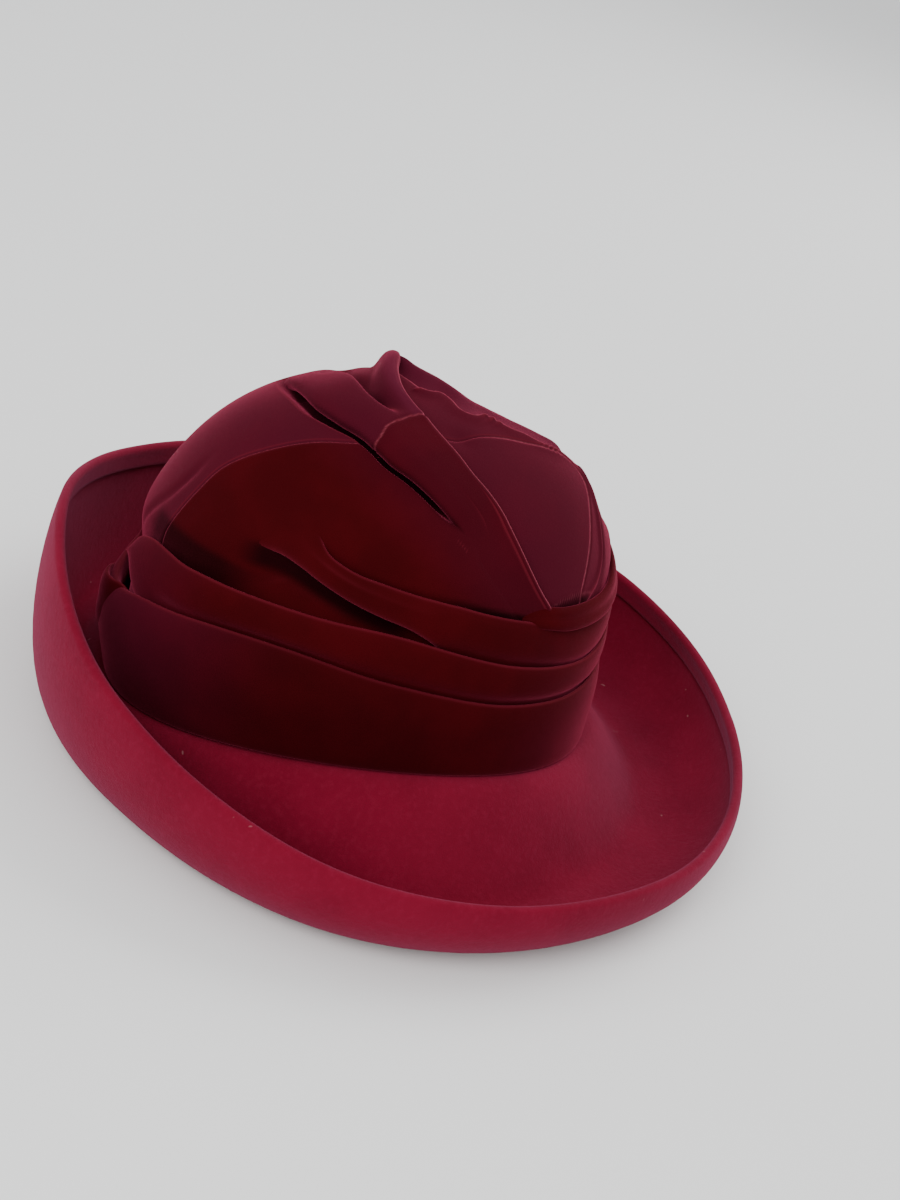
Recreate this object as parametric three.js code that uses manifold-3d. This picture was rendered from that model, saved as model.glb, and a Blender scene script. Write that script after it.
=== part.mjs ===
// A cocktail tilt hat: an upturned felt brim, a three-panel velvet crown with draped folds on top,
// and a velvet band laid in three overlapping pleats. Millimetres, +Z up, front towards -Y.
//
// Directions round the head are bearings in degrees: 0 is the front, 90 the wearer's right (-X),
// 180 the back and 270 the wearer's left. Heights on the crown are measured along the crown's own
// axis, which leans back a little, and "out" is the distance outside the crown's smooth form.
import * as THREE from 'three';
import { mergeVertices } from 'three/addons/utils/BufferGeometryUtils.js';
import Module from 'manifold-3d';

const wasm = await Module();
wasm.setup();

// ---- driving dimensions ----

const GAP = 0.35; // clearance between neighbouring pieces
const FOLD_REST = 0.5; // folds lie this far off the crown's smooth form
const SEGMENTS = 48; // facets round the head
const STEP = 360 / SEGMENTS;

const HEAD = { halfWidth: 86, halfLength: 101 }; // oval that the band's foot stands on
const CROWN = { height: 126, roundness: 2.74, shoulder: 2.24, wall: 2, tuck: 5.6 };
const CROWN_SEAT = { y: -5.7, z: 27.6, leanDeg: 4.2, saddle: 7.5, roll: 3.3 };
const FULLNESS = { bearing: -8, height: 96, out: 4.5, tall: 24, wide: 0.36 };
const FELT = { thickness: 2, hemExtra: 1.5, hemHeight: 10, flat: 3, seatInset: 8.2 };
const VELVET = { wall: 1.9, foldEdge: 2.8 };
const OVERLAP = 6; // how far a pleat reaches down behind the one below

// Brim sections: how far the resting line and the rim lie outside the head oval, the rim's height,
// and how far past upright the felt curls in at the rim.
const BRIM = [
  { bearing: 0, gutter: 36, reach: 67.5, rim: 35, curlDeg: 20 },
  { bearing: 45, gutter: 37, reach: 70, rim: 31, curlDeg: 13 },
  { bearing: 90, gutter: 37, reach: 63, rim: 34, curlDeg: 22 },
  { bearing: 135, gutter: 19, reach: 40, rim: 50, curlDeg: 21 },
  { bearing: 180, gutter: 16, reach: 30, rim: 73, curlDeg: 36 },
  { bearing: 225, gutter: 31, reach: 46, rim: 62, curlDeg: 26 },
  { bearing: 270, gutter: 42, reach: 69.5, rim: 47, curlDeg: 14 },
  { bearing: 315, gutter: 42, reach: 81.5, rim: 40.5, curlDeg: 11 },
];

// Heights of the band's three folded upper edges.
const PLEAT_EDGES = [
  { bearing: 0, low: 33, middle: 48, top: 72 },
  { bearing: 30, low: 32, middle: 46, top: 61 },
  { bearing: 60, low: 38, middle: 54, top: 71 },
  { bearing: 90, low: 48, middle: 65, top: 82 },
  { bearing: 120, low: 52, middle: 66, top: 91 },
  { bearing: 150, low: 44, middle: 63, top: 78 },
  { bearing: 180, low: 31, middle: 50, top: 62 },
  { bearing: 210, low: 38, middle: 57, top: 70 },
  { bearing: 240, low: 44, middle: 63, top: 82 },
  { bearing: 270, low: 45, middle: 64, top: 84 },
  { bearing: 300, low: 41, middle: 60, top: 82 },
  { bearing: 330, low: 36, middle: 53, top: 78 },
];

// Where the seams beside the centre panel run, seen from above.
const SEAMS = [
  { y: 120, right: -28, left: 28 },
  { y: 60, right: -28, left: 28 },
  { y: 30, right: -31, left: 31 },
  { y: 0, right: -33, left: 33 },
  { y: -25, right: -27, left: 32 },
  { y: -50, right: -17, left: 29 },
  { y: -66, right: -20, left: 27 },
  { y: -78, right: -36, left: 28 },
  { y: -120, right: -50, left: 30 },
];

// Folds lying on the crown, seen from above: the two edges of each section and how high it stands.
const FOLDS = {
  diagonal_fold: [
    { leftX: 22, leftY: 47, rightX: 26, rightY: 40, rise: 1.5 },
    { leftX: 2, leftY: 43, rightX: 12, rightY: 30, rise: 4.2 },
    { leftX: -14, leftY: 37, rightX: 0, rightY: 22, rise: 4.8 },
    { leftX: -25, leftY: 28, rightX: -10, rightY: 12, rise: 4.4 },
    { leftX: -34, leftY: 19, rightX: -18, rightY: 1, rise: 4.2 },
    { leftX: -43, leftY: 10, rightX: -28, rightY: -9, rise: 4.2 },
    { leftX: -50, leftY: -1, rightX: -37, rightY: -18, rise: 4 },
    { leftX: -56, leftY: -13, rightX: -44, rightY: -29, rise: 3.6 },
    { leftX: -60, leftY: -26, rightX: -51, rightY: -38, rise: 3 },
    { leftX: -62, leftY: -39, rightX: -55, rightY: -47, rise: 2.6 },
    { leftX: -62, leftY: -49, rightX: -57, rightY: -54, rise: 2.3 },
    { leftX: -61, leftY: -55, rightX: -58, rightY: -59, rise: 2 },
  ],
  tip_fold_crest: [
    { leftX: -7, leftY: 13, rightX: -13, rightY: 1, rise: 3.2 },
    { leftX: 4, leftY: 17, rightX: -2, rightY: 1, rise: 5.4 },
    { leftX: 14, leftY: 17, rightX: 12, rightY: 1, rise: 8 },
    { leftX: 24, leftY: 16, rightX: 22, rightY: 0, rise: 9 },
    { leftX: 34, leftY: 15, rightX: 31, rightY: -2, rise: 6 },
    { leftX: 43, leftY: 13, rightX: 40, rightY: 0, rise: 2.4 },
  ],
  tip_fold_wave: [
    { leftX: 15, leftY: -3, rightX: 37, rightY: -5, rise: 4.4 },
    { leftX: 5, leftY: -11, rightX: 33, rightY: -17, rise: 4 },
    { leftX: -4, leftY: -21, rightX: 25, rightY: -28, rise: 3.6 },
    { leftX: -10, leftY: -31, rightX: 17, rightY: -39, rise: 3.2 },
    { leftX: -16, leftY: -40, rightX: 8, rightY: -48, rise: 2.8 },
    { leftX: -21, leftY: -49, rightX: -2, rightY: -57, rise: 2.2 },
  ],
};

// Velvet loops: the middle line of each, with its half height and half thickness.
const LOOPS = {
  front_knot: [
    { bearing: 46, height: 67, out: 1.4, tall: 2, thick: 1.4 },
    { bearing: 40, height: 65, out: 2.2, tall: 3.2, thick: 2.1 },
    { bearing: 33, height: 63.5, out: 2.7, tall: 3.8, thick: 2.4 },
    { bearing: 25, height: 63.5, out: 2.7, tall: 4, thick: 2.4 },
    { bearing: 17, height: 66.5, out: 2.4, tall: 3.6, thick: 2.3 },
    { bearing: 8, height: 72, out: 1.2, tall: 2.2, thick: 1.5 },
  ],
  back_loop: [
    { bearing: 166, height: 38, out: 3.4, tall: 3, thick: 1.5 },
    { bearing: 171, height: 35, out: 4.6, tall: 8, thick: 1.9 },
    { bearing: 177, height: 28, out: 6.4, tall: 12, thick: 2.1 },
    { bearing: 183, height: 24, out: 6.2, tall: 12, thick: 2 },
    { bearing: 189, height: 23, out: 4.8, tall: 7, thick: 1.8 },
    { bearing: 194, height: 24, out: 3.4, tall: 3, thick: 1.4 },
  ],
};

const VELVET_RED = new THREE.Color(0x5a0a18);
const FELT_RED = new THREE.Color(0x8c1c34);

// ---- tables ----

// A smooth curve through the rows of a table, at a place between two of them.
function between(before, start, end, after, key, column, place) {
  const span = end[key] - start[key];
  const slopeAtStart = (end[column] - before[column]) / (end[key] - before[key]);
  const slopeAtEnd = (after[column] - start[column]) / (after[key] - start[key]);
  const u = (place - start[key]) / span;
  const ease = u * u * (3 - 2 * u);
  const leave = u * (1 - u) ** 2;
  const arrive = -u * u * (1 - u);
  return start[column] * (1 - ease) + end[column] * ease + span * (slopeAtStart * leave + slopeAtEnd * arrive);
}

// A column of a table whose rows go once round the head.
function around(rows, column, bearing) {
  const place = THREE.MathUtils.euclideanModulo(bearing, 360);
  const turned = (index) => {
    const turns = Math.floor(index / rows.length);
    const row = rows[index - turns * rows.length];
    return { ...row, bearing: row.bearing + 360 * turns };
  };
  let start = rows.length - 1;
  while (rows[start].bearing > place) start -= 1;
  const near = [start - 1, start, start + 1, start + 2].map(turned);
  return between(...near, 'bearing', column, place);
}

// A table's row at a share u of its length, with every column blended.
function along(rows, u) {
  const place = u * (rows.length - 1);
  const start = Math.min(Math.floor(place), rows.length - 2);
  const numbered = [start - 1, start, start + 1, start + 2].map((index) => {
    const kept = THREE.MathUtils.clamp(index, 0, rows.length - 1);
    return { ...rows[kept], order: index };
  });
  const blended = {};
  for (const column of Object.keys(rows[0])) {
    blended[column] = between(...numbered, 'order', column, place);
  }
  return blended;
}

// ---- the crown's smooth form ----

const crownFrame = new THREE.Matrix4()
  .makeRotationX(-THREE.MathUtils.degToRad(CROWN_SEAT.leanDeg))
  .setPosition(0, CROWN_SEAT.y, CROWN_SEAT.z);

// Height of the crown's foot, which dips at the front and back and lifts at the sides.
function footHeight(bearing) {
  const angle = THREE.MathUtils.degToRad(bearing);
  return -CROWN_SEAT.saddle * Math.cos(2 * angle) + CROWN_SEAT.roll * Math.sin(angle);
}

function crownPoint(bearing, height, out) {
  const angle = THREE.MathUtils.degToRad(bearing);
  const level = THREE.MathUtils.clamp(height / CROWN.height, 0, 0.9999);
  const left = 1 - level ** CROWN.roundness;
  const narrowing = left ** (1 / CROWN.shoulder);
  const x = -HEAD.halfWidth * narrowing * Math.sin(angle);
  const y = -HEAD.halfLength * narrowing * Math.cos(angle);
  const lift = (CROWN.roundness / CROWN.shoulder) * level ** (CROWN.roundness - 1)
    * left ** (2 / CROWN.shoulder - 1) / CROWN.height;
  const outward = new THREE.Vector3(x / HEAD.halfWidth ** 2, y / HEAD.halfLength ** 2, lift).normalize();
  return new THREE.Vector3(x, y, height).addScaledVector(outward, out).applyMatrix4(crownFrame);
}

// The crown's cloth is drawn in under the band and stands fuller over the forehead.
function drape(bearing, height) {
  const cover = around(PLEAT_EDGES, 'top', bearing);
  const tucked = 1 - THREE.MathUtils.smoothstep(height, cover - 10, cover + 12);
  const aside = THREE.MathUtils.degToRad(bearing - FULLNESS.bearing);
  const away = ((height - FULLNESS.height) / FULLNESS.tall) ** 2 + (Math.sin(aside / 2) / FULLNESS.wide) ** 2;
  return FULLNESS.out * Math.exp(-away) * (1 - tucked) - CROWN.tuck * tucked;
}

// The bearing and height of the crown's form above a place seen from above.
function crownPlace(x, y) {
  const reach = Math.min(0.999, Math.hypot(x / HEAD.halfWidth, y / HEAD.halfLength));
  const bearing = THREE.MathUtils.radToDeg(Math.atan2(-x / HEAD.halfWidth, -y / HEAD.halfLength));
  return { bearing, height: CROWN.height * (1 - reach ** CROWN.shoulder) ** (1 / CROWN.roundness) };
}

function onCrown(x, y, out) {
  const { bearing, height } = crownPlace(x, y);
  return crownPoint(bearing, height, out + drape(bearing, height));
}

// ---- solids from rows of points ----

function middle(points) {
  const sum = new THREE.Vector3();
  for (const point of points) sum.add(point);
  return sum.divideScalar(points.length);
}

// A closed skin over rows of points, each row a closed ring. It ends in a point at each end, or,
// where no ends are given, joins its last row to its first.
function skin(rows, ends) {
  const across = rows[0].length;
  const points = rows.flat();
  const faces = [];
  const at = (row, column) => (row % rows.length) * across + (column % across);
  const joined = ends ? rows.length - 1 : rows.length;
  for (let row = 0; row < joined; row += 1) {
    for (let column = 0; column < across; column += 1) {
      const corners = [at(row, column), at(row, column + 1), at(row + 1, column + 1), at(row + 1, column)];
      faces.push(corners[0], corners[1], corners[2], corners[0], corners[2], corners[3]);
    }
  }
  if (ends) {
    points.push(ends[0], ends[1]);
    for (let column = 0; column < across; column += 1) {
      faces.push(points.length - 2, at(0, column + 1), at(0, column));
      faces.push(points.length - 1, at(rows.length - 1, column), at(rows.length - 1, column + 1));
    }
  }
  return facingOut(points, faces);
}

function facingOut(points, faces) {
  let volume = 0;
  for (let i = 0; i < faces.length; i += 3) {
    const [a, b, c] = [points[faces[i]], points[faces[i + 1]], points[faces[i + 2]]];
    volume += new THREE.Vector3().crossVectors(b, c).dot(a);
  }
  if (volume < 0) faces.reverse();
  const geometry = new THREE.BufferGeometry().setFromPoints(points);
  geometry.setIndex(faces);
  return geometry;
}

function toManifold(geometry) {
  const bare = geometry.clone();
  bare.deleteAttribute('normal');
  bare.deleteAttribute('uv');
  const merged = mergeVertices(bare, 1e-4);
  return new wasm.Manifold(new wasm.Mesh({
    numProp: 3,
    vertProperties: merged.attributes.position.array,
    triVerts: Uint32Array.from(merged.index.array),
  }));
}

function fromManifold(solid) {
  const { vertProperties, triVerts } = solid.getMesh();
  const geometry = new THREE.BufferGeometry();
  geometry.setAttribute('position', new THREE.BufferAttribute(vertProperties, 3));
  geometry.setIndex(new THREE.BufferAttribute(triVerts, 1));
  return geometry;
}

// ---- brim ----

// One section of the brim's felt, from the head opening to the rim and back, as distances outside
// the head oval and heights. The lower face comes down to a flat resting line and curls up.
function brimSection(bearing) {
  const gutter = around(BRIM, 'gutter', bearing);
  const reach = around(BRIM, 'reach', bearing);
  const rim = around(BRIM, 'rim', bearing);
  const seatHeight = (out) => crownPoint(bearing, footHeight(bearing), out).z - FELT.thickness;
  const seat = seatHeight(0);
  const inner = gutter - FELT.flat;
  const outer = gutter + FELT.flat;
  const lower = [[-FELT.seatInset, seatHeight(-FELT.seatInset)], [0, seat]];
  const fall = (u) => seat * (1 - 0.5 * u - 2 * u * u + 1.5 * u ** 3);
  for (const u of [0.33, 0.67]) lower.push([inner * u, fall(u)]);
  lower.push([inner, 0], [outer, 0]);
  const last = Math.PI / 2 + THREE.MathUtils.degToRad(around(BRIM, 'curlDeg', bearing));
  const wide = (reach - outer) / Math.sin(last);
  const tall = rim / (1 - Math.cos(last));
  const hem = Math.acos(1 - (rim - FELT.hemHeight) / tall);
  const onCurl = (turn) => [outer + wide * Math.sin(turn), tall * (1 - Math.cos(turn))];
  for (const share of [0.25, 0.5, 0.75, 1]) lower.push(onCurl(hem * share));
  lower.push(onCurl((hem + last) / 2), onCurl(last));
  const upper = lower.map(([out, height], index) => {
    const before = lower[Math.max(index - 1, 0)];
    const after = lower[Math.min(index + 1, lower.length - 1)];
    const run = [after[0] - before[0], after[1] - before[1]];
    const length = Math.hypot(...run);
    const thick = index > lower.length - 3 ? FELT.thickness + FELT.hemExtra : FELT.thickness;
    return [out - (run[1] / length) * thick, height + (run[0] / length) * thick];
  });
  const hemFoot = lower.length - 3;
  const step = upper[hemFoot + 1].map((value, axis) => value * 0.15 + upper[hemFoot][axis] * 0.85);
  step[0] -= FELT.hemExtra;
  const rimTop = [(lower.at(-1)[0] + upper.at(-1)[0]) / 2, rim + FELT.thickness / 2];
  return [...lower, rimTop, ...upper.slice(hemFoot + 1).reverse(), step, ...upper.slice(0, hemFoot + 1).reverse()];
}

function brimSolid() {
  const rows = [];
  for (let bearing = 0; bearing < 360; bearing += STEP) {
    const seat = crownPoint(bearing, footHeight(bearing), 0);
    const angle = THREE.MathUtils.degToRad(bearing);
    const outward = new THREE.Vector3(-Math.sin(angle) / HEAD.halfWidth, -Math.cos(angle) / HEAD.halfLength, 0);
    outward.normalize();
    rows.push(brimSection(bearing).map(([out, height]) => (
      new THREE.Vector3(seat.x, seat.y, height).addScaledVector(outward, out))));
  }
  return skin(rows);
}

// ---- crown ----

function crownShell() {
  const OUTER_ROWS = 12;
  const INNER_ROWS = 9;
  const ring = (share, out) => {
    const row = [];
    for (let bearing = 0; bearing < 360; bearing += STEP) {
      const foot = footHeight(bearing) + GAP;
      const height = foot + (CROWN.height - foot) * share;
      row.push(crownPoint(bearing, height, out + drape(bearing, height)));
    }
    return row;
  };
  const shareAt = (row, count) => 1 - ((count - row) / count) ** 2;
  const rows = [];
  for (let row = OUTER_ROWS - 1; row >= 0; row -= 1) rows.push(ring(shareAt(row, OUTER_ROWS), 0));
  for (let row = 0; row < INNER_ROWS; row += 1) rows.push(ring(shareAt(row, INNER_ROWS), -CROWN.wall));
  const poles = [0, -CROWN.wall].map((out) => crownPoint(0, CROWN.height, out));
  poles.forEach((pole) => pole.setX(0));
  return skin(rows, poles);
}

// A tall block over the part of the plan between two seam lines.
function seamBlock(leftEdge, rightEdge) {
  const outline = [...leftEdge, ...rightEdge.toReversed()].map(([x, y]) => new THREE.Vector2(x, y));
  return toManifold(new THREE.ExtrudeGeometry(new THREE.Shape(outline), { depth: 300, bevelEnabled: false })
    .translate(0, 0, -50));
}

function crownPanels() {
  const shell = toManifold(crownShell());
  const line = (column, shift) => SEAMS.map((row) => [row[column] + shift, row.y]);
  const edge = (x) => SEAMS.map((row) => [x, row.y]);
  const half = 0.65 * GAP;
  const panels = {
    crown_side_right: seamBlock(edge(-200), line('right', -half)),
    crown_centre: seamBlock(line('right', half), line('left', -half)),
    crown_side_left: seamBlock(line('left', half), edge(200)),
  };
  return Object.entries(panels).map(([name, block]) => [name, fromManifold(shell.intersect(block))]);
}

// ---- band ----

// A pleat's section: a wall of velvet that starts behind the pleat below, comes out over its
// folded edge and ends in a round fold of its own. Outs are its outer face.
function pleatSection(bearing, heights, outs, thin = 1) {
  const { foot, clear, top } = heights;
  const outer = [
    [foot, outs.hidden, VELVET.wall],
    [clear, outs.hidden, VELVET.wall],
    [THREE.MathUtils.lerp(clear, top, 0.4), outs.belly, VELVET.wall],
    [THREE.MathUtils.lerp(clear, top, 0.9), outs.top, VELVET.foldEdge],
  ];
  const loop = outer.map(([height, out]) => [height, out]);
  loop.push([top, outs.top - VELVET.foldEdge / 2]);
  for (const [height, out, wall] of outer.toReversed()) loop.push([height, out - wall * thin]);
  return loop.map(([height, out]) => crownPoint(bearing, height, out));
}

function bandPleats() {
  const edge = (column, bearing) => around(PLEAT_EDGES, column, bearing);
  const rowsFor = (from, to, section) => {
    const rows = [];
    for (let bearing = from; bearing <= to; bearing += STEP) rows.push(section(bearing));
    return rows;
  };
  const low = rowsFor(0, 360 - STEP, (bearing) => {
    const foot = footHeight(bearing) + GAP;
    const heights = { foot, clear: foot + 3, top: edge('low', bearing) };
    return pleatSection(bearing, heights, { hidden: 0, belly: 1.4, top: 1.2 });
  });
  const middlePleat = rowsFor(-23 * STEP, 23 * STEP, (bearing) => {
    const below = edge('low', bearing);
    const heights = { foot: below - OVERLAP, clear: below + 1, top: edge('middle', bearing) };
    return pleatSection(bearing, heights, { hidden: -2.2, belly: 0.2, top: 0.4 });
  });
  const topPleat = rowsFor(-17 * STEP, 17 * STEP, (bearing) => {
    const fade = THREE.MathUtils.smoothstep(Math.abs(bearing), 84, 127);
    const below = edge('middle', bearing);
    const top = edge('top', bearing);
    const heights = {
      foot: THREE.MathUtils.lerp(below - OVERLAP, top - 7, fade),
      clear: THREE.MathUtils.lerp(below + 1, top - 6, fade),
      top,
    };
    return pleatSection(bearing, heights, { hidden: -3, belly: -0.8, top: 0.2 }, 1 - 0.4 * fade);
  });
  const ends = (rows) => [middle(rows[0]), middle(rows.at(-1))];
  return [
    ['band_pleat_low', skin(low)],
    ['band_pleat_middle', skin(middlePleat, ends(middlePleat))],
    ['band_pleat_top', skin(topPleat, ends(topPleat))],
  ];
}

// ---- folds and loops ----

// A fold's section is an arch of velvet with its two edges on the crown.
function foldSolid(rows, stations) {
  const ACROSS = 6;
  const sections = [];
  for (let index = 0; index < stations; index += 1) {
    const row = along(rows, index / (stations - 1));
    const arch = (share, drop) => {
      const x = THREE.MathUtils.lerp(row.leftX, row.rightX, share);
      const y = THREE.MathUtils.lerp(row.leftY, row.rightY, share);
      const height = 1 + (row.rise - 1) * Math.sin(Math.PI * share) ** 0.8;
      return onCrown(x, y, FOLD_REST + Math.max(0, height - drop));
    };
    const section = [];
    for (let i = 0; i <= ACROSS; i += 1) section.push(arch(i / ACROSS, 0));
    for (let i = ACROSS; i >= 0; i -= 1) section.push(arch(i / ACROSS, VELVET.wall));
    sections.push(section);
  }
  return skin(sections, [middle(sections[0]), middle(sections.at(-1))]);
}

function loopSolid(rows, stations) {
  const SIDES = 8;
  const sections = [];
  for (let index = 0; index < stations; index += 1) {
    const row = along(rows, index / (stations - 1));
    const section = [];
    for (let side = 0; side < SIDES; side += 1) {
      const turn = (2 * Math.PI * side) / SIDES;
      const height = row.height + row.tall * Math.sin(turn);
      section.push(crownPoint(row.bearing, height, row.out + row.thick * Math.cos(turn)));
    }
    sections.push(section);
  }
  return skin(sections, [middle(sections[0]), middle(sections.at(-1))]);
}

// ---- assembly ----

const hat = new THREE.Group();

function addPiece(name, geometry, colour) {
  geometry.computeVertexNormals();
  const material = new THREE.MeshStandardMaterial({ color: colour, roughness: 0.9, metalness: 0 });
  const mesh = new THREE.Mesh(geometry, material);
  mesh.name = name;
  hat.add(mesh);
}

addPiece('brim', brimSolid(), FELT_RED);
for (const [name, geometry] of crownPanels()) addPiece(name, geometry, VELVET_RED);
for (const [name, geometry] of bandPleats()) addPiece(name, geometry, VELVET_RED);
for (const [name, rows] of Object.entries(FOLDS)) addPiece(name, foldSolid(rows, 2 * rows.length - 1), VELVET_RED);
for (const [name, rows] of Object.entries(LOOPS)) addPiece(name, loopSolid(rows, 11), VELVET_RED);

// The origin is under the middle of the hat, on the surface that it rests on.
const extent = new THREE.Box3().setFromObject(hat);
hat.position.set(-(extent.min.x + extent.max.x) / 2, -(extent.min.y + extent.max.y) / 2, -extent.min.z);

export default hat;
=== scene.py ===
# %% [markdown]
# # A cocktail tilt hat in felt and velvet
# This lesson dresses a measured hat. The brim is one piece of wool felt that rolls up all round.
# The crown is three panels of velvet over a stiff foundation, with loose folds laid on its top,
# and a velvet band runs round it in three overlapping pleats. The measured model is loaded first.
# It stays as the frame that every new piece is made to, so nothing here is fitted by eye.

# %% Load the measured hat
import math

import bpy
import numpy as np
from mathutils import Matrix, Vector


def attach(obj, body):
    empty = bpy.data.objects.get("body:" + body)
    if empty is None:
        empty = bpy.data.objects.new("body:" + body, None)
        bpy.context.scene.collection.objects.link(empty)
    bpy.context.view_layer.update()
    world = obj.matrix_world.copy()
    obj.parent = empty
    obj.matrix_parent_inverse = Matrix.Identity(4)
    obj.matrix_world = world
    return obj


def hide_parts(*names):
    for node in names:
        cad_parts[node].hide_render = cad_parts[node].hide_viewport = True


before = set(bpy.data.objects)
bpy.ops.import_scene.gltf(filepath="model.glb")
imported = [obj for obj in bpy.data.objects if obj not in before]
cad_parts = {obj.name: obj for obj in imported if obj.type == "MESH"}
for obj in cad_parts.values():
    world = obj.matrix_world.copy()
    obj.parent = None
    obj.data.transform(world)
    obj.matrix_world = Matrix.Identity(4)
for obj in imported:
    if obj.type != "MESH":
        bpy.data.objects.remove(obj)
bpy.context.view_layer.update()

# %% [markdown]
# ## Camera
# A camera is placed with three things: where it stands, what it looks at, and how it is tilted
# about its own line of sight. A matrix built from its right, up and back directions says all
# three at once, and avoids guessing at angles. The lens decides how much it takes in.

# %% Set up the camera
EYE = Vector((-0.5893, 0.1419, 0.3883))
AIM = Vector((-0.0103, -0.0092, 0.0720))
TILT = math.radians(18.02)

back = (EYE - AIM).normalized()
level_right = Vector((0, 0, 1)).cross(back).normalized()
level_up = back.cross(level_right)
right = level_right * math.cos(TILT) + level_up * math.sin(TILT)
up = back.cross(right)

camera = bpy.data.objects.new("camera", bpy.data.cameras.new("camera"))
bpy.context.scene.collection.objects.link(camera)
camera.matrix_world = Matrix.Translation(EYE) @ Matrix((right, up, back)).transposed().to_4x4()
camera.data.lens = 50.31
camera.data.sensor_width = 36
bpy.context.scene.camera = camera
print("camera is", round(1000 * (EYE - AIM).length), "mm from the hat")

# %% [markdown]
# ## Tables
# A hat maker writes a shape down as a few measurements at named places. The tables below do the
# same, and this helper reads between their rows with a smooth curve. A table that goes once
# round the head joins its last row to its first.

# %% Read between the rows of a table
def read_between(keys, values, place, turn=None):
    """The values of a table, smoothly, at places between its rows."""
    keys, values = np.asarray(keys, float), np.asarray(values, float)
    if turn:
        keys = np.concatenate([keys[-2:] - turn, keys, keys[:2] + turn])
        values = np.concatenate([values[-2:], values, values[:2]])
        place = np.mod(place, turn)
    else:
        keys = np.concatenate([[2 * keys[0] - keys[1]], keys, [2 * keys[-1] - keys[-2]]])
        values = np.concatenate([values[:1], values, values[-1:]])
    slopes = (values[2:] - values[:-2]) / (keys[2:] - keys[:-2])
    keys, values = keys[1:-1], values[1:-1]
    row = np.clip(np.searchsorted(keys, place, side="right") - 1, 0, len(keys) - 2)
    gap = keys[row + 1] - keys[row]
    u = np.clip((place - keys[row]) / gap, 0, 1)
    ease = u * u * (3 - 2 * u)
    bend = slopes[row] * u * (1 - u) ** 2 - slopes[row + 1] * u * u * (1 - u)
    return values[row] * (1 - ease) + values[row + 1] * ease + gap * bend


def ramp(value, low, high):
    """0 below low, 1 above high, and an even rise between them."""
    t = np.clip((value - low) / (high - low), 0, 1)
    return t * t * (3 - 2 * t)


def hump(off, width):
    """1 where off is 0, falling smoothly away to either side."""
    return np.exp(-((off / width) ** 2))


def unevenness(place, seed, longest, count=5):
    """Slow hand-made waviness from -1 to 1 along a line, the same on every run."""
    chance = np.random.default_rng(seed)
    total = 0 * np.asarray(place, float)
    for step in range(count):
        wave = longest / (1 + 0.9 * step)
        total = total + np.sin(2 * np.pi * place / wave + chance.uniform(0, 2 * np.pi)) / (1 + step)
    return total / 1.8


print("halfway from 0 to 10:", float(read_between([0, 10], [0, 4], 5.0)))

# %% [markdown]
# ## The crown's form
# The velvet is blocked over a foundation, so its shape has a rule: an oval head that narrows
# towards the top. Directions round the head are bearings in degrees, with 0 at the front, 90 at
# the wearer's right and 180 at the back. Heights run up the crown's own axis, which leans back a
# little. All lengths in this lesson are millimetres until a mesh is written in metres.

# %% Describe the crown's form
MM = 0.001
HALF_WIDTH, HALF_LENGTH, CROWN_HEIGHT = 86.0, 101.0, 126.0
ROUNDNESS, SHOULDER = 2.74, 2.24
SEAT = np.array([-3.1325, 18.9419, 27.6])
LEAN = math.radians(4.2)
FOOT_SADDLE, FOOT_ROLL = 7.5, 3.3
TUCK = 5.6

EDGE_BEARING = np.arange(0, 360, 30)
LOW_EDGE = [33, 32, 38, 48, 52, 44, 31, 38, 44, 45, 41, 36]
MIDDLE_EDGE = [48, 46, 54, 65, 66, 63, 50, 57, 63, 64, 60, 53]
TOP_EDGE = [72, 61, 71, 82, 91, 78, 62, 70, 82, 84, 82, 78]


def crown_form(bearing, height, out):
    """Points at a distance outside the crown's smooth form, in mm."""
    turn = np.radians(bearing)
    level = np.clip(height / CROWN_HEIGHT, 0, 0.99999)
    left = 1 - level**ROUNDNESS
    narrow = left ** (1 / SHOULDER)
    x = -HALF_WIDTH * narrow * np.sin(turn)
    y = -HALF_LENGTH * narrow * np.cos(turn)
    rise = ROUNDNESS / SHOULDER / CROWN_HEIGHT
    rise = rise * level ** (ROUNDNESS - 1) * left ** (2 / SHOULDER - 1)
    outward = np.stack([x / HALF_WIDTH**2, y / HALF_LENGTH**2, rise + 0 * x], -1)
    outward /= np.linalg.norm(outward, axis=-1, keepdims=True)
    points = np.stack([x, y, height + 0 * x], -1) + outward * np.asarray(out)[..., None]
    c, s = math.cos(LEAN), math.sin(LEAN)
    leaned = np.array([[1, 0, 0], [0, c, s], [0, -s, c]])
    return points @ leaned.T + SEAT


def foot_height(bearing):
    turn = np.radians(bearing)
    return -FOOT_SADDLE * np.cos(2 * turn) + FOOT_ROLL * np.sin(turn)


def edge_height(heights, bearing):
    return read_between(EDGE_BEARING, heights, bearing, turn=360)


print("crown is", 2 * HALF_WIDTH, "by", 2 * HALF_LENGTH, "mm, and", CROWN_HEIGHT, "mm tall")

# %% [markdown]
# ## Places on the cloth
# Folds and seams are easiest to draw on the cloth itself, as a maker chalks them. A place on the
# cloth is a pair of millimetres measured from the top of the crown: across towards the wearer's
# left, and back towards the nape. This cell turns such a pair into a bearing and a height.

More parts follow.
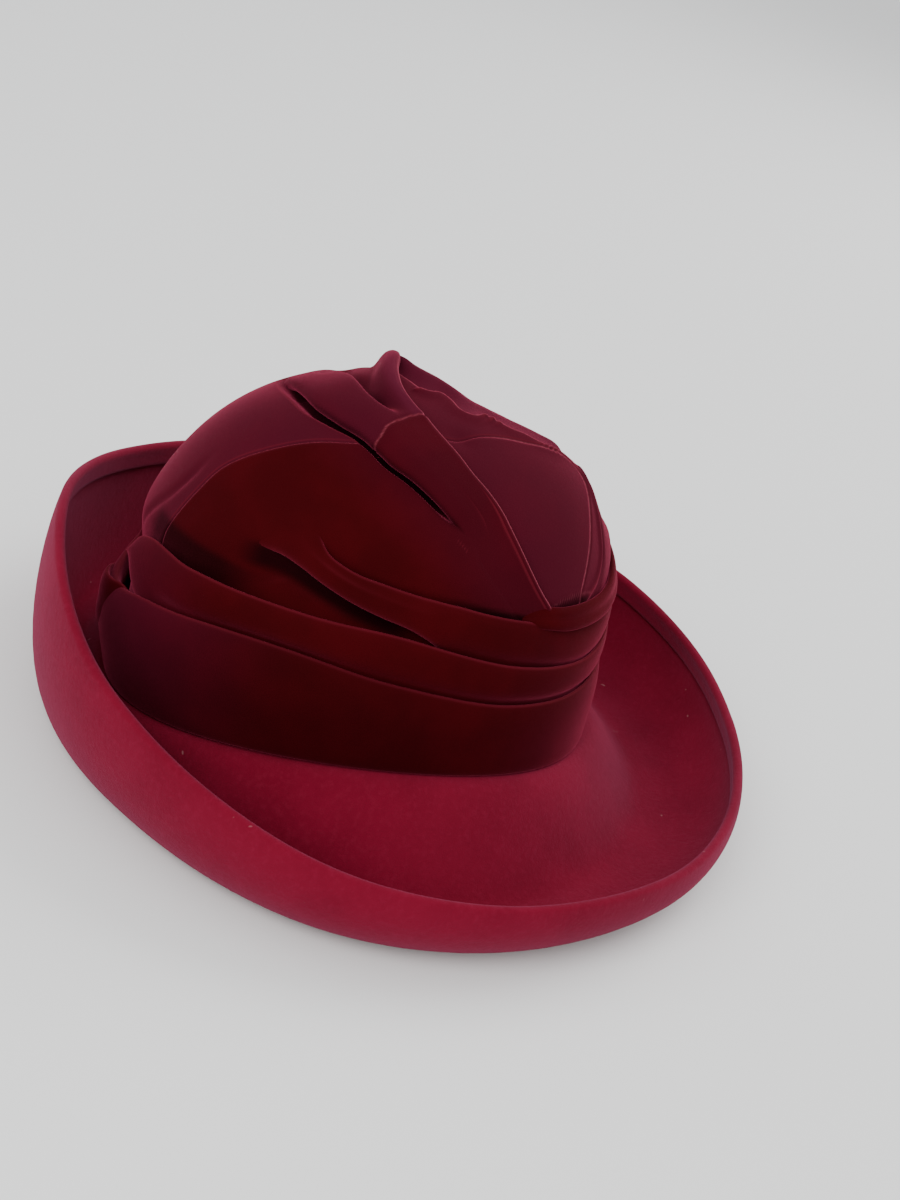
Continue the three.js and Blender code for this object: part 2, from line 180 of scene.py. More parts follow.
# %% Measure along the cloth
MEAN_RADIUS = (HALF_WIDTH + HALF_LENGTH) / 2
STEEP_PART = 60
shallow = (CROWN_HEIGHT - STEEP_PART) * (1 - (1 - np.linspace(0, 1, 400)) ** 2.2)
heights = np.concatenate([np.linspace(-16, STEEP_PART, 77)[:-1], STEEP_PART + shallow])
radii = MEAN_RADIUS * (1 - np.clip(heights / CROWN_HEIGHT, 0, 1) ** ROUNDNESS) ** (1 / SHOULDER)
lengths = np.concatenate([[0], np.cumsum(np.hypot(np.diff(heights), np.diff(radii)))])
lengths = lengths[-1] - lengths


def cloth_length(height):
    return np.interp(height, heights, lengths)


def cloth_place(across, back):
    """The bearing and height of a place on the cloth."""
    reach = np.hypot(across, back)
    return np.degrees(np.arctan2(-across, -back)), np.interp(-reach, -lengths, heights)


def on_the_flat(bearing, height):
    """The place on the cloth at a bearing and height."""
    turn, reach = np.radians(bearing), cloth_length(height)
    return -reach * np.sin(turn), -reach * np.cos(turn)


print("cloth from the top of the crown to its foot:", round(float(cloth_length(0))), "mm")

# %% [markdown]
# ## How the cloth is draped
# Blocked velvet doesn't follow its foundation everywhere. It is full over the forehead, drawn in
# where the band holds it, and hollow beside a fold. Simulating that would leave each hollow
# wherever it fell, so the drape is written as a few smooth dents whose places are known.

# %% Drape the cloth over the form
# Where the crown's cloth goes in under the band, by bearing.
COVER_BEARING = [0, 30, 60, 80, 95, 108, 118, 126, 138, 150,
                 165, 180, 195, 210, 235, 252, 270, 300, 330]
COVER_HEIGHT = [70, 60, 69, 78, 81, 86, 84, 77, 71, 66, 58, 54, 60, 66, 78, 84, 83, 80, 76]

# Where the top pleat's free lower edge hangs over the pocket at the right, by bearing.
FREE_EDGE = {"bearing": [76, 83, 88, 94, 102, 110, 116, 122, 128, 136, 150],
             "height": [60, 64.5, 68, 70.5, 74, 78, 81, 82.8, 82.2, 80.5, 77]}

# How much lower than the form the cloth lies at the front left of the top, by place on the cloth.
FLAT_BACK = [-112, -98, -86, -72, -60, -49, -33, -25, -18, -10, -2]
FLAT_DEPTH = [0, 2.5, 3.2, 2.6, 3.4, 4.5, 4.9, 4.3, 2.6, 0.9, 0]


def flattened(bearing, height):
    across, back = on_the_flat(bearing, height)
    side = ramp(across, -8, 16) * (1 - 0.6 * ramp(across, 42, 80))
    front = 3.4 * hump(across, 13) * hump(back + 87, 7)
    return read_between(FLAT_BACK, FLAT_DEPTH, np.clip(back, -112, -2)) * side + front * (1 - side)


def drape(bearing, height):
    """How far the cloth stands off the form: full over the forehead, drawn in under the band."""
    cover = read_between(COVER_BEARING, COVER_HEIGHT, bearing, turn=360)
    tucked = 1 - ramp(height, cover - 9, cover + 11)
    away = ((height - 96) / 24) ** 2 + (np.sin(np.radians(bearing + 8) / 2) / 0.36) ** 2
    under_pleat = 69 + 0.30 * (bearing - 102)
    hollow = 4.2 * hump(height - under_pleat, 6.5) * ramp(bearing, 80, 96)
    hollow = hollow * (1 - ramp(bearing, 112, 140))
    hollow += 2.7 * hump(height - 69, 8) * hump(bearing + 98, 14)
    across, back = on_the_flat(bearing, height)
    hollow += 1.9 * hump(across - 30, 13) * hump(back - 22.5, 4.5)
    return 4.5 * np.exp(-away) * (1 - tucked) - TUCK * tucked - hollow - flattened(bearing, height)


def on_cloth(across, back, out):
    bearing, height = cloth_place(across, back)
    return crown_form(bearing, height, out + drape(bearing, height))


print("drawn in under the band at the front:", round(float(-drape(0.0, 30.0)), 1), "mm")

# %% [markdown]
# ## Working beside a line
# A seam or a crease is a chalk line, and cloth changes shape by its distance from that line. This
# helper tells, for every place, how far along the line the nearest point is and on which side.

# %% Measure from a chalk line
def beside(line, across, back):
    """How far along a chalked line each place lies, from 0 to 1, and how far to its left side."""
    line = np.asarray(line, float)
    stops = np.concatenate([[0], np.cumsum(np.hypot(*np.diff(line, axis=0).T))])
    fine = np.linspace(0, stops[-1], 12 * len(line))
    x, y = (read_between(stops, line[:, axis], fine) for axis in (0, 1))
    best = np.full(np.shape(across), 1e9)
    share, side = np.zeros(np.shape(across)), np.zeros(np.shape(across))
    for i in range(len(fine) - 1):
        dx, dy = x[i + 1] - x[i], y[i + 1] - y[i]
        long = math.hypot(dx, dy)
        u = np.clip(((across - x[i]) * dx + (back - y[i]) * dy) / long**2, 0, 1)
        off = np.hypot(across - x[i] - u * dx, back - y[i] - u * dy)
        nearer = off < best
        best = np.where(nearer, off, best)
        share = np.where(nearer, (fine[i] + u * (fine[i + 1] - fine[i])) / stops[-1], share)
        left = np.sign(dx * (back - y[i]) - dy * (across - x[i]))
        side = np.where(nearer, left * off, side)
    return share, side


print("beside a straight line:", [float(v) for v in beside([(0, 0), (0, 10)], 3.0, 5.0)])

# %% [markdown]
# ## Laying cloth
# Each velvet piece starts as a flat grid, like cloth just cut, and its vertices are then laid on
# the form one by one, which is sculpting written down. The wall comes last, as a Solidify
# modifier that is applied. The pile opens where velvet bends sharply outwards, and a pale
# highlight is painted there, so the bend is measured on the mesh and kept as an attribute that
# the material can read. Seam wear with painted highlights, a painted sheen and painted shade are
# kept as attributes too.

# %% A flat grid laid on a form
def only(piece):
    bpy.ops.object.select_all(action="DESELECT")
    piece.select_set(True)
    bpy.context.view_layer.objects.active = piece


def openness(points, closed):
    """How sharply a grid of points bends outwards, from 0 to 1 at the tip of a tight fold."""
    across = np.gradient(points, axis=1)
    along = np.gradient(points, axis=0)
    normal = np.cross(across, along)
    normal /= np.linalg.norm(normal, axis=-1, keepdims=True) + 1e-12
    bent = np.zeros(points.shape[:2])
    for axis in (0, 1):
        before, after = np.roll(points, 1, axis), np.roll(points, -1, axis)
        step = np.linalg.norm(after - before, axis=-1) / 2 + 1e-9
        curve = -((before + after - 2 * points) * normal).sum(-1) / step**2
        if not (closed and axis == 0):
            curve[(slice(None),) * axis + ([0, -1],)] = 0
        bent = np.maximum(bent, curve)
    return bent, normal


def write_attribute(piece, name, values):
    layer = piece.data.attributes.new(name, "FLOAT", "POINT")
    layer.data.foreach_set("value", np.asarray(values, np.float32).ravel())


WELD = 0.00002
HEART = np.array([SEAT[0], SEAT[1], 70.0])


def lay_cloth(name, points, wall=1.0, closed=False, marks=0.0, inside=None, nap=0.0, pressed=0.0):
    """A cloth piece whose outer face is at a grid of points in mm, rows by columns."""
    rows, columns = points.shape[:2]
    diagonals = points[1:, 1:] - points[:-1, :-1], points[1:, :-1] - points[:-1, 1:]
    bpy.ops.object.select_all(action="DESELECT")
    bpy.ops.mesh.primitive_grid_add(x_subdivisions=columns - 1, y_subdivisions=rows - 1, size=1)
    piece = bpy.context.object
    piece.name = piece.data.name = name
    flat = np.zeros(rows * columns * 3)
    piece.data.vertices.foreach_get("co", flat)
    flat = flat.reshape(-1, 3)
    row = np.rint((flat[:, 1] + 0.5) * (rows - 1)).astype(int)
    column = np.rint((flat[:, 0] + 0.5) * (columns - 1)).astype(int)
    piece.data.vertices.foreach_set("co", (points[row, column] * MM).ravel())
    bent, normal = openness(points, closed)
    # Open pile and a painted highlight on outward bends.
    write_attribute(piece, "open_pile", np.clip(bent[row, column] * 2.2, 0, 1))
    # Seam wear with painted highlights, a painted sheen and painted shade.
    for kind, values in (("seam", marks), ("nap", nap), ("pressed", pressed)):
        write_attribute(piece, kind, (values + 0 * bent)[row, column])
    heart = HEART if inside is None else inside
    if ((points - heart) * normal).sum() < 0:
        only(piece)
        bpy.ops.object.mode_set(mode="EDIT")
        bpy.ops.mesh.select_all(action="SELECT")
        bpy.ops.mesh.flip_normals()
        bpy.ops.object.mode_set(mode="OBJECT")
    only(piece)
    bpy.ops.object.mode_set(mode="EDIT")
    bpy.ops.mesh.select_all(action="SELECT")
    bpy.ops.mesh.remove_doubles(threshold=WELD)
    bpy.ops.object.mode_set(mode="OBJECT")
    thicken = piece.modifiers.new("wall", "SOLIDIFY")
    thicken.thickness = wall * MM
    thicken.offset = -1
    bpy.ops.object.modifier_apply(modifier=thicken.name)
    bpy.ops.object.shade_smooth()
    return piece


# %% [markdown]
# ## Felt brim
# A real brim is blocked from one cone of felt, and its edge is folded over to the inside and
# pressed flat, which leaves a line about a centimetre below the rim. Here a circle is extruded
# ring by ring, as the felt runs: from the head opening, down to where the hat rests, up the
# outside, over the rim, and back down the inside. Each ring is then moved to its measured place.

# %% Measurements of the brim
FELT_WALL, HEM_EXTRA, HEM_DEPTH, FLAT = 2.0, 2.2, 9.5, 3.0
BRIM_BEARING = [0, 45, 90, 135, 180, 225, 270, 315]
BRIM_GUTTER = [36, 37, 37, 19, 16, 31, 42, 42]
BRIM_REACH = [67.5, 70, 63, 40, 30, 46, 69.5, 81.5]
BRIM_RIM = [35, 31, 34, 50, 73, 62, 47, 40.5]
BRIM_CURL = [20, 13, 22, 21, 36, 26, 14, 11]


def brim_column(values, bearing):
    return float(read_between(BRIM_BEARING, values, np.array([bearing]), turn=360)[0])


def brim_section(bearing):
    """One section of the felt: distances outside the head oval and heights, in mm."""
    gutter, reach = brim_column(BRIM_GUTTER, bearing), brim_column(BRIM_REACH, bearing)
    rim, curl = brim_column(BRIM_RIM, bearing), brim_column(BRIM_CURL, bearing)
    rim += 0.7 * float(unevenness(np.array(bearing), 3, 120))
    foot = float(foot_height(np.array([bearing]))[0])

    def seat_at(out):
        place = crown_form(np.array([bearing]), np.array([foot]), np.array([out]))
        return float(place[0, 2]) - FELT_WALL

    seat, inner, outer = seat_at(0.0), gutter - FLAT, gutter + FLAT
    lower = [(-8.2, seat_at(-8.2)), (-4, seat_at(-4.0)), (0, seat)]
    lower += [(inner * u, seat * (1 - 0.5 * u - 2 * u * u + 1.5 * u**3))
              for u in np.linspace(0.12, 0.9, 8)]
    lower += [(inner, 0), (gutter, 0), (outer, 0)]
    last = math.pi / 2 + math.radians(curl)
    wide, tall = (reach - outer) / math.sin(last), rim / (1 - math.cos(last))
    hem = math.acos(1 - (rim - HEM_DEPTH) / tall)
    below_hem, in_hem = np.linspace(0.06, 0.97, 14) * hem, np.linspace(hem, last, 7)[1:]
    turns = np.concatenate([below_hem, [hem], in_hem])
    lower += [(outer + wide * math.sin(t), tall * (1 - math.cos(t))) for t in turns]
    lower = np.array(lower)
    run = np.gradient(lower, axis=0)
    run /= np.linalg.norm(run, axis=1, keepdims=True)
    inward = np.stack([-run[:, 1], run[:, 0]], 1)
    extra = np.zeros(len(lower))
    extra[-6:] = HEM_EXTRA
    upper = lower + inward * (FELT_WALL + extra)[:, None]
    step = len(lower) - 7
    crease = lower[step] + inward[step] * (FELT_WALL - 0.25) + run[step] * 0.4
    lip = lower[step] + inward[step] * (FELT_WALL + HEM_EXTRA * 0.85) + run[step] * 0.9
    radius = (FELT_WALL + HEM_EXTRA) / 2
    over, onward = inward[-1] * radius, run[-1] * radius
    round_rim = [lower[-1] + over * (1 - math.cos(t)) + onward * math.sin(t)
                 for t in np.linspace(0, math.pi, 9)[1:-1]]
    inner_side = [*upper[step + 1:][::-1], lip, crease, *upper[:step][::-1]]
    return np.array([*lower, *round_rim, *inner_side])


rings = len(brim_section(0))
print("the felt's section has", rings, "points")

# %% [markdown]
# ## Extruding the felt
# Extruding a ring gives a tube whose rings are all alike, which is easy to count. The height of
# a vertex says which ring it is in, and its direction says its bearing, so each one can be sent
# to its place. The first and last rings are then bridged, which closes the felt's section.

# %% Extrude the brim ring by ring
AROUND, RING_STEP = 288, 0.01
bpy.ops.object.select_all(action="DESELECT")
bpy.ops.mesh.primitive_circle_add(vertices=AROUND, radius=0.09, location=(0, 0, 0))
brim = bpy.context.object
brim.name = brim.data.name = "felt_brim"
bpy.ops.object.mode_set(mode="EDIT")
bpy.ops.mesh.select_all(action="SELECT")
for _ in range(rings - 1):
    bpy.ops.mesh.extrude_region_move(TRANSFORM_OT_translate={"value": (0, 0, RING_STEP)})
bpy.ops.object.mode_set(mode="OBJECT")
spots = np.zeros(len(brim.data.vertices) * 3)
brim.data.vertices.foreach_get("co", spots)
spots = spots.reshape(-1, 3)
ring_of = np.rint(spots[:, 2] / RING_STEP).astype(int)
bearing_of = np.mod(np.degrees(np.arctan2(-spots[:, 0], -spots[:, 1])), 360)
for bearing in np.arange(AROUND) * 360 / AROUND:
    own = np.abs(np.mod(bearing_of - bearing + 180, 360) - 180) < 90 / AROUND
    section = brim_section(bearing)
    seat = crown_form(np.array([bearing]), foot_height(np.array([bearing])), np.zeros(1))[0]
    turn = math.radians(bearing)
    outward = np.array([-math.sin(turn) / HALF_WIDTH, -math.cos(turn) / HALF_LENGTH, 0])
    outward /= np.linalg.norm(outward)
    place = seat * [1, 1, 0] + outward * section[:, :1] + [0, 0, 1] * section[:, 1:]
    spots[own] = place[ring_of[own]] * MM
brim.data.vertices.foreach_set("co", spots.ravel())
only(brim)
bpy.ops.object.mode_set(mode="EDIT")
bpy.ops.mesh.select_all(action="DESELECT")
bpy.ops.mesh.select_non_manifold()
bpy.ops.mesh.bridge_edge_loops()
bpy.ops.mesh.select_all(action="SELECT")
bpy.ops.mesh.normals_make_consistent(inside=False)
bpy.ops.object.mode_set(mode="OBJECT")
bpy.ops.object.shade_smooth()
print("brim:", len(brim.data.polygons), "faces,", rings, "rings")

# %% [markdown]
# ## Crown panels
# The crown is sewn from three panels, and two seams run over it from back to front. The right
# seam turns down sharply above the forehead. Each panel is a grid whose rows run across the
# cloth, from one seam to the next or down to the crown's foot, so that the seams lie on the
# grid's edges and come out crisp. Seams sink a little, and the cloth beside them stands proud.

# %% Chalk lines on the crown
RIGHT_SEAM = [(-60, 168), (-42.5, 112), (-41.5, 100), (-39.5, 90), (-37.5, 82), (-34, 70),
              (-35, 51), (-36, 36), (-38, 20), (-37, 8), (-33, -4), (-30, -15), (-24, -24),
              (-20, -32), (-16, -42), (-11, -52), (-7, -60), (-7, -66), (-13, -71), (-31, -75),
              (-44, -78.5), (-56, -81), (-66, -84), (-82, -100), (-113, -138)]
LEFT_SEAM = [(57, 168), (36, 104), (34, 63), (35, 30), (36, 0), (35, -25), (32, -50), (30, -66),
             (31, -84), (35, -104), (58, -168)]
GROOVE = [(40, 45.5), (24, 44), (12, 42.5), (1, 40), (-14, 35), (-25, 28), (-34, 20), (-42, 14),
          (-48, 9.5), (-54, 2), (-60, -5), (-66, -12), (-69, -18), (-72, -26)]
FOLD_START = [(-80, -24), (-86, -32), (-91, -42), (-95, -53), (-97, -65), (-98, -78)]
FOLD_RIDGE = [(-16, 0), (-26, -4), (-33.5, -8.5), (-40.5, -14), (-48, -20), (-53.5, -26.5),
              (-59, -32.5), (-64.5, -37.5), (-70, -44), (-75, -50.5), (-79, -58), (-81, -66.5),
              (-82.5, -77)]
WAVE_LIP = [(26, 6), (15, 3.2), (8.2, 0.3), (0.8, -3.3), (0.0, -6.5), (1.1, -9.8), (-3.4, -13.2),
            (-9.7, -16.2), (-11.6, -21.2), (-8.3, -26.1), (-10.1, -31.2), (-11.6, -35.1),
            (-10.8, -41), (-10.7, -47.5), (-6.6, -56.3), (-0.3, -65.3)]
VALLEY = [(36, 24), (24, 22.8), (14, 20.6), (5, 17.6), (-9, 14.6), (-15.5, 11.6), (-21, 8.4),
          (-26, 5)]
FRONT_CREASE = [(-3, -69), (-18, -77), (-30, -83), (-38, -88), (-50, -90), (-66, -86)]
NAPE_CREASE = [(-8, 122), (-24, 98), (-26, 84), (-22, 72)]


print("seams run", len(RIGHT_SEAM), "and", len(LEFT_SEAM), "chalk marks over the crown")

# %% [markdown]
# ## Relief of the cloth
# Seams sink a little, and the cloth beside them stands proud. A groove lies open beside the long
# fold, creases run out from where the cloth is caught, and two spots pucker where stitches pull.
# Each is a hump or a ramp across a chalk line, in millimetres, and all of them are added up.

# %% Raise and sink the cloth
def slow_relief(across, back):
    """The slow unevenness of cloth over a foundation, which the folds follow too."""
    share, off = beside(VALLEY, across, back)
    valley = 3.0 * hump(off, 2.6) * ramp(share, 0, 0.2) * (1 - ramp(share, 0.82, 1))
    return 0.5 * np.sin(across / 19 + 0.6) * np.sin(back / 23 + 1.1) - valley


def in_groove(across, back):
    """The groove beside the long fold: its depth from 0 to 1, how far across it, and its lip."""
    share, off = beside(GROOVE, across, back)
    deep = ramp(share, 0.02, 0.22) * (1 - ramp(share, 0.82, 1.0))
    return deep, off, -5.4 + 2.6 * ramp(share, 0.36, 0.62)


def puckers(across, back):
    """Small ripples at two spots on the wave's edge."""
    rear = np.sin(2 * np.pi * (back + 0.5 * across) / 3.4)
    front = np.sin(2 * np.pi * (back - 0.4 * across) / 2.8)
    rear = rear * hump(back + 28, 4.5) * hump(across + 9, 3.5)
    return rear + 0.8 * front * hump(back + 53, 4.0) * hump(across + 9, 3.0)


def relief(across, back):
    """Soft shapes in the crown's cloth, in mm out from the drape."""
    out = np.zeros(np.shape(across))
    for line in (RIGHT_SEAM, LEFT_SEAM):
        _, off = beside(line, across, back)
        out += 0.14 * hump(off, 3.5) - 0.38 * hump(off, 0.8)
    deep, off, lip = in_groove(across, back)
    out -= deep * (7.5 * ramp(off, lip, 1.4) * (1 - ramp(off, 7, 12)) + 0.5 * hump(off, 9.0))
    share, off = beside(WAVE_LIP, across, back)
    along = ramp(share, 0.0, 0.1) * (1 - ramp(share, 0.86, 1.0))
    out += along * (0.8 * hump(off, 4.0) - 6.5 * ramp(off, 0.2, 2.8) * (1 - ramp(off, 22, 34)))
    out += 0.45 * puckers(across, back) - hump(across + 30, 5) * hump(back + 16, 5)
    _, off = beside(FRONT_CREASE, across, back)
    out += 0.8 * hump(off, 1.6) - 0.7 * hump(off - 3.4, 1.8)
    _, off = beside(FOLD_START, across, back)
    out -= 1.6 * ramp(off, 1.5, 6) * (1 - ramp(off, 9, 13)) * ramp(-across, 74, 82)
    share, off = beside(NAPE_CREASE, across, back)
    out -= hump(off, 3.0) * ramp(share, 0, 0.3) * (1 - ramp(share, 0.7, 1))
    return out + slow_relief(across, back)


print("the cloth sinks", round(float(-relief(-30.0, 26.0)), 1), "mm at one place in the groove")

# %% [markdown]
# ## Painted shade, painted highlights and seam wear
# Down in the groove, in the pocket under the top pleat, in the recess behind the middle pleat and
# in the slit under the knot, shade is painted dark into the pile's colour. Along the wave's lip,
# the fold's turned edge and above the slit a pale highlight is painted, and along seams the pile
# is rubbed pale. All follow the chalk lines, so they are worked out with the shape and written on
# the mesh.

# %% Mark seam wear, painted highlights and painted shade
def foot_reach(bearing):
    return np.interp(foot_height(bearing) + 0.35, heights, lengths)


def foot_across(back, side):
    """Where a row of the grid meets the crown's foot, on the right (-1) or the left (1)."""
    across = side * np.sqrt(np.maximum(170.0**2 - back**2, 4))
    for _ in range(12):
        reach = foot_reach(np.degrees(np.arctan2(-across, -back)))
        across = side * np.sqrt(np.maximum(reach**2 - back**2, 0.01))
    return across


def over_pleat(across, back):
    """The thin shadow where the cloth meets the top pleat at the front right."""
    bearing, height = cloth_place(across, back)
    above = height - edge_height(TOP_EDGE, bearing)
    return 0.9 * ramp(bearing, 50, 56) * (1 - ramp(bearing, 66, 84)) * (1 - ramp(above, 0.8, 3.2))


def shading(across, back):
    """Seam wear with painted highlights, and painted shade, each from 0 to 1."""
    marks = np.zeros(across.shape)
    # Seams: the pile is rubbed pale along them.
    for line in (RIGHT_SEAM, LEFT_SEAM):
        _, off = beside(line, across, back)
        marks = np.maximum(marks, (0.35 + 0.35 * ramp(-back, 20, 34)) * hump(off, 0.5))
    # A pale highlight is painted along the wave's lip.
    share, off = beside(WAVE_LIP, across, back)
    marks = np.maximum(marks, 0.62 * hump(off - 0.3, 0.8) * (1 - ramp(share, 0.86, 1.0)))
    # Shade is painted dark down in the groove.
    deep, off, lip = in_groove(across, back)
    pressed = 0.9 * deep * ramp(off, lip + 0.3, 0.6) * (1 - ramp(off, 7, 12))
    # Shadow is painted dark in the pocket under the top pleat's free edge, and shade in the recess
    # behind the middle pleat.
    bearing, height = cloth_place(across, back)
    below = read_between(FREE_EDGE["bearing"], FREE_EDGE["height"], bearing) - height
    pocket = ramp(bearing, 82, 92) * (1 - ramp(bearing, 126, 135))
    pocket = pocket * ramp(below, -3, 0) * (1 - ramp(below, 4, 9))
    recess = ramp(bearing, 120, 138) * (1 - ramp(bearing, 162, 168))
    recess = recess * ramp(np.hypot(across, back), 103.5, 107.5) * (across < 0)
    pressed = np.maximum(pressed, np.maximum(0.9 * pocket, 0.8 * recess))
    pressed = np.maximum(pressed, over_pleat(across, back))
    # Shade is painted dark in the slit under an arch at the front, and a pale highlight along its
    # upper lip.
    sideways = np.abs(bearing - 42)
    arch = height - 74.4 + 0.022 * sideways**2
    opening = (1 - ramp(sideways, 6, 10)) * ramp(-arch, 0.2, 1.0)
    marks = np.maximum(marks, 0.5 * hump(arch - 0.3, 0.6) * (1 - ramp(sideways, 8, 12)))
    return marks * (1 - pressed), np.maximum(pressed, 0.85 * opening)


def panel_points(starts, ends, rows, columns, crowd):
    """Rows across the cloth from starts to ends. crowd puts more columns near the start."""
    share = np.linspace(0, 1, columns) ** crowd
    across = starts[:, None] + (ends - starts)[:, None] * share
    back = np.repeat(rows[:, None], columns, 1)
    return on_cloth(across, back, relief(across, back)), *shading(across, back)


def painted_sheen_of_side(across, back):
    """A painted pinkish sheen on the side, stronger towards the long fold's ridge and full beyond
    it.
    """
    _, before = beside(FOLD_RIDGE, across, back)
    return 0.45 * ramp(before, -3, 3) + 0.22 * ramp(before, -48, -12) * (1 - ramp(before, -3, 3))


def seam_at(line, back):
    line = np.array(sorted(line, key=lambda place: place[1]), float)
    return read_between(line[:, 1], line[:, 0], back)


print("a row 50 mm behind the top runs", round(float(-foot_across(np.array([50.0]), -1)[0])),
      "mm to the crown's foot")

# %% [markdown]
# ## The three panels
# The side panels start at their seams, where the shape changes fastest, so their columns crowd
# there. The middle panel runs from seam to seam, and where both seams have left the crown it
# runs from foot to foot. Rows are closest over the top, where the folds and the groove are.

# %% Lay the three panels
SIDE_COLUMNS, SIDE_CROWD = 118, 1.35
side_rows = np.concatenate([np.linspace(-136, -36, 90)[:-1], np.linspace(-36, 50, 172)[:-1],
                            np.linspace(50, 165, 81)])
seam, foot = seam_at(RIGHT_SEAM, side_rows), foot_across(side_rows, -1)
points, marks, pressed = panel_points(seam, foot, side_rows, SIDE_COLUMNS, SIDE_CROWD)
share = np.linspace(0, 1, SIDE_COLUMNS) ** SIDE_CROWD
across = seam[:, None] + (foot - seam)[:, None] * share
# A pinkish sheen is painted on the side, towards and beyond the long fold's ridge.
nap = painted_sheen_of_side(across, side_rows[:, None] + 0 * across)
crown_right = lay_cloth("crown_panel_right", points, marks=marks, nap=nap, pressed=pressed)

side_rows = np.linspace(-164, 165, 260)
seam, foot = seam_at(LEFT_SEAM, side_rows), foot_across(side_rows, 1)
points, marks, _ = panel_points(seam, foot, side_rows, 90, SIDE_CROWD)
crown_left = lay_cloth("crown_panel_left", points, marks=marks)

centre_rows = np.concatenate([np.linspace(-184, -92, 50)[:-1], np.linspace(-92, -66, 44)[:-1],
                              np.linspace(-66, 50, 216)[:-1], np.linspace(50, 184, 76)])
from_right = seam_at(RIGHT_SEAM, np.clip(centre_rows, -138, 168))
from_right = np.maximum(from_right, foot_across(centre_rows, -1))
to_left = seam_at(LEFT_SEAM, np.clip(centre_rows, -168, 168))
to_left = np.minimum(to_left, foot_across(centre_rows, 1))
points, marks, pressed = panel_points(from_right, to_left, centre_rows, 104, 1.0)
# A pinkish sheen is painted over the whole middle panel.
crown_centre = lay_cloth("crown_panel_centre", points, marks=marks, nap=0.45, pressed=pressed)

# %% [markdown]
# ## Folds on the crown
# The loose folds are long tucks of velvet. Their sections are drawn as a few control points that
# a smooth curve only leans towards, as cloth does, and a table says where each section's two
# edges lie on the cloth and how high it stands. An edge can roll under, or run out into the
# crown so that the fold seems to grow from it.

# %% Sections drawn with a leaning curve
def leaning_curve(controls, count):
    """Points on a cubic B-spline that leans towards controls: stations by controls by 2."""
    many = controls.shape[1]
    knots = np.concatenate([[0] * 3, np.linspace(0, 1, many - 2), [1] * 3])
    weights = np.zeros((count, many))
    for i, t in enumerate(np.linspace(0, 1 - 1e-9, count)):
        basis = [1.0 if knots[j] <= t < knots[j + 1] else 0.0 for j in range(len(knots) - 1)]
        for degree in (1, 2, 3):
            raised = []
            for j in range(len(knots) - 1 - degree):
                rise, fall = knots[j + degree] - knots[j], knots[j + degree + 1] - knots[j + 1]
                first = (t - knots[j]) / rise * basis[j] if rise > 0 else 0
                second = (knots[j + degree + 1] - t) / fall * basis[j + 1] if fall > 0 else 0
                raised.append(first + second)
            basis = raised
        weights[i] = basis[:many]
    return np.einsum("ck,skd->scd", weights, controls)


def stations(table, count):
    """The rows of a table blended at even steps, as columns by name."""
    order = np.arange(len(table["rows"]), dtype=float)
    places = np.linspace(0, len(order) - 1, count)
    values = np.array(table["rows"], float)
    return {name: read_between(order, values[:, i], places)
            for i, name in enumerate(table["columns"])}


def fold_points(at, section, count):
    """A fold's grid: each station's section runs from its left edge to its right edge."""
    start = np.stack([at["left_across"], at["left_back"]], 1)
    reach = np.stack([at["right_across"], at["right_back"]], 1) - start
    width = np.hypot(*reach.T)
    controls = section(at, width)
    curve = leaning_curve(controls, count)
    spot = start[:, None] + (reach / width[:, None])[:, None] * curve[..., :1]
    out = curve[..., 1] + slow_relief(spot[..., 0], spot[..., 1])
    return on_cloth(spot[..., 0], spot[..., 1], out), spot, curve[..., 0], width[:, None]


def pick(share, first, second):
    """Blend two lists of (across, out) controls, station by station."""
    kept = 1 - share
    return [(a[0] * kept + b[0] * share, a[1] * kept + b[1] * share)
            for a, b in zip(first, second)]


corner = leaning_curve(np.array([[(0, 0), (0, 4), (4, 4), (4, 0)]], float), 3)[0, 1]
print("halfway round a square corner:", corner.round(2))

# %% [markdown]
# ## The long fold
# The largest tuck starts at the back of the top, runs forward beside an open groove, and ends in
# a flat strip down the forehead. Its section has a tongue, a valley and a crest, and the table
# gives each of them a place and a height, station by station. A column called roll says how far
# the left edge turns under, and one called fade lets the fold sink back into the crown.

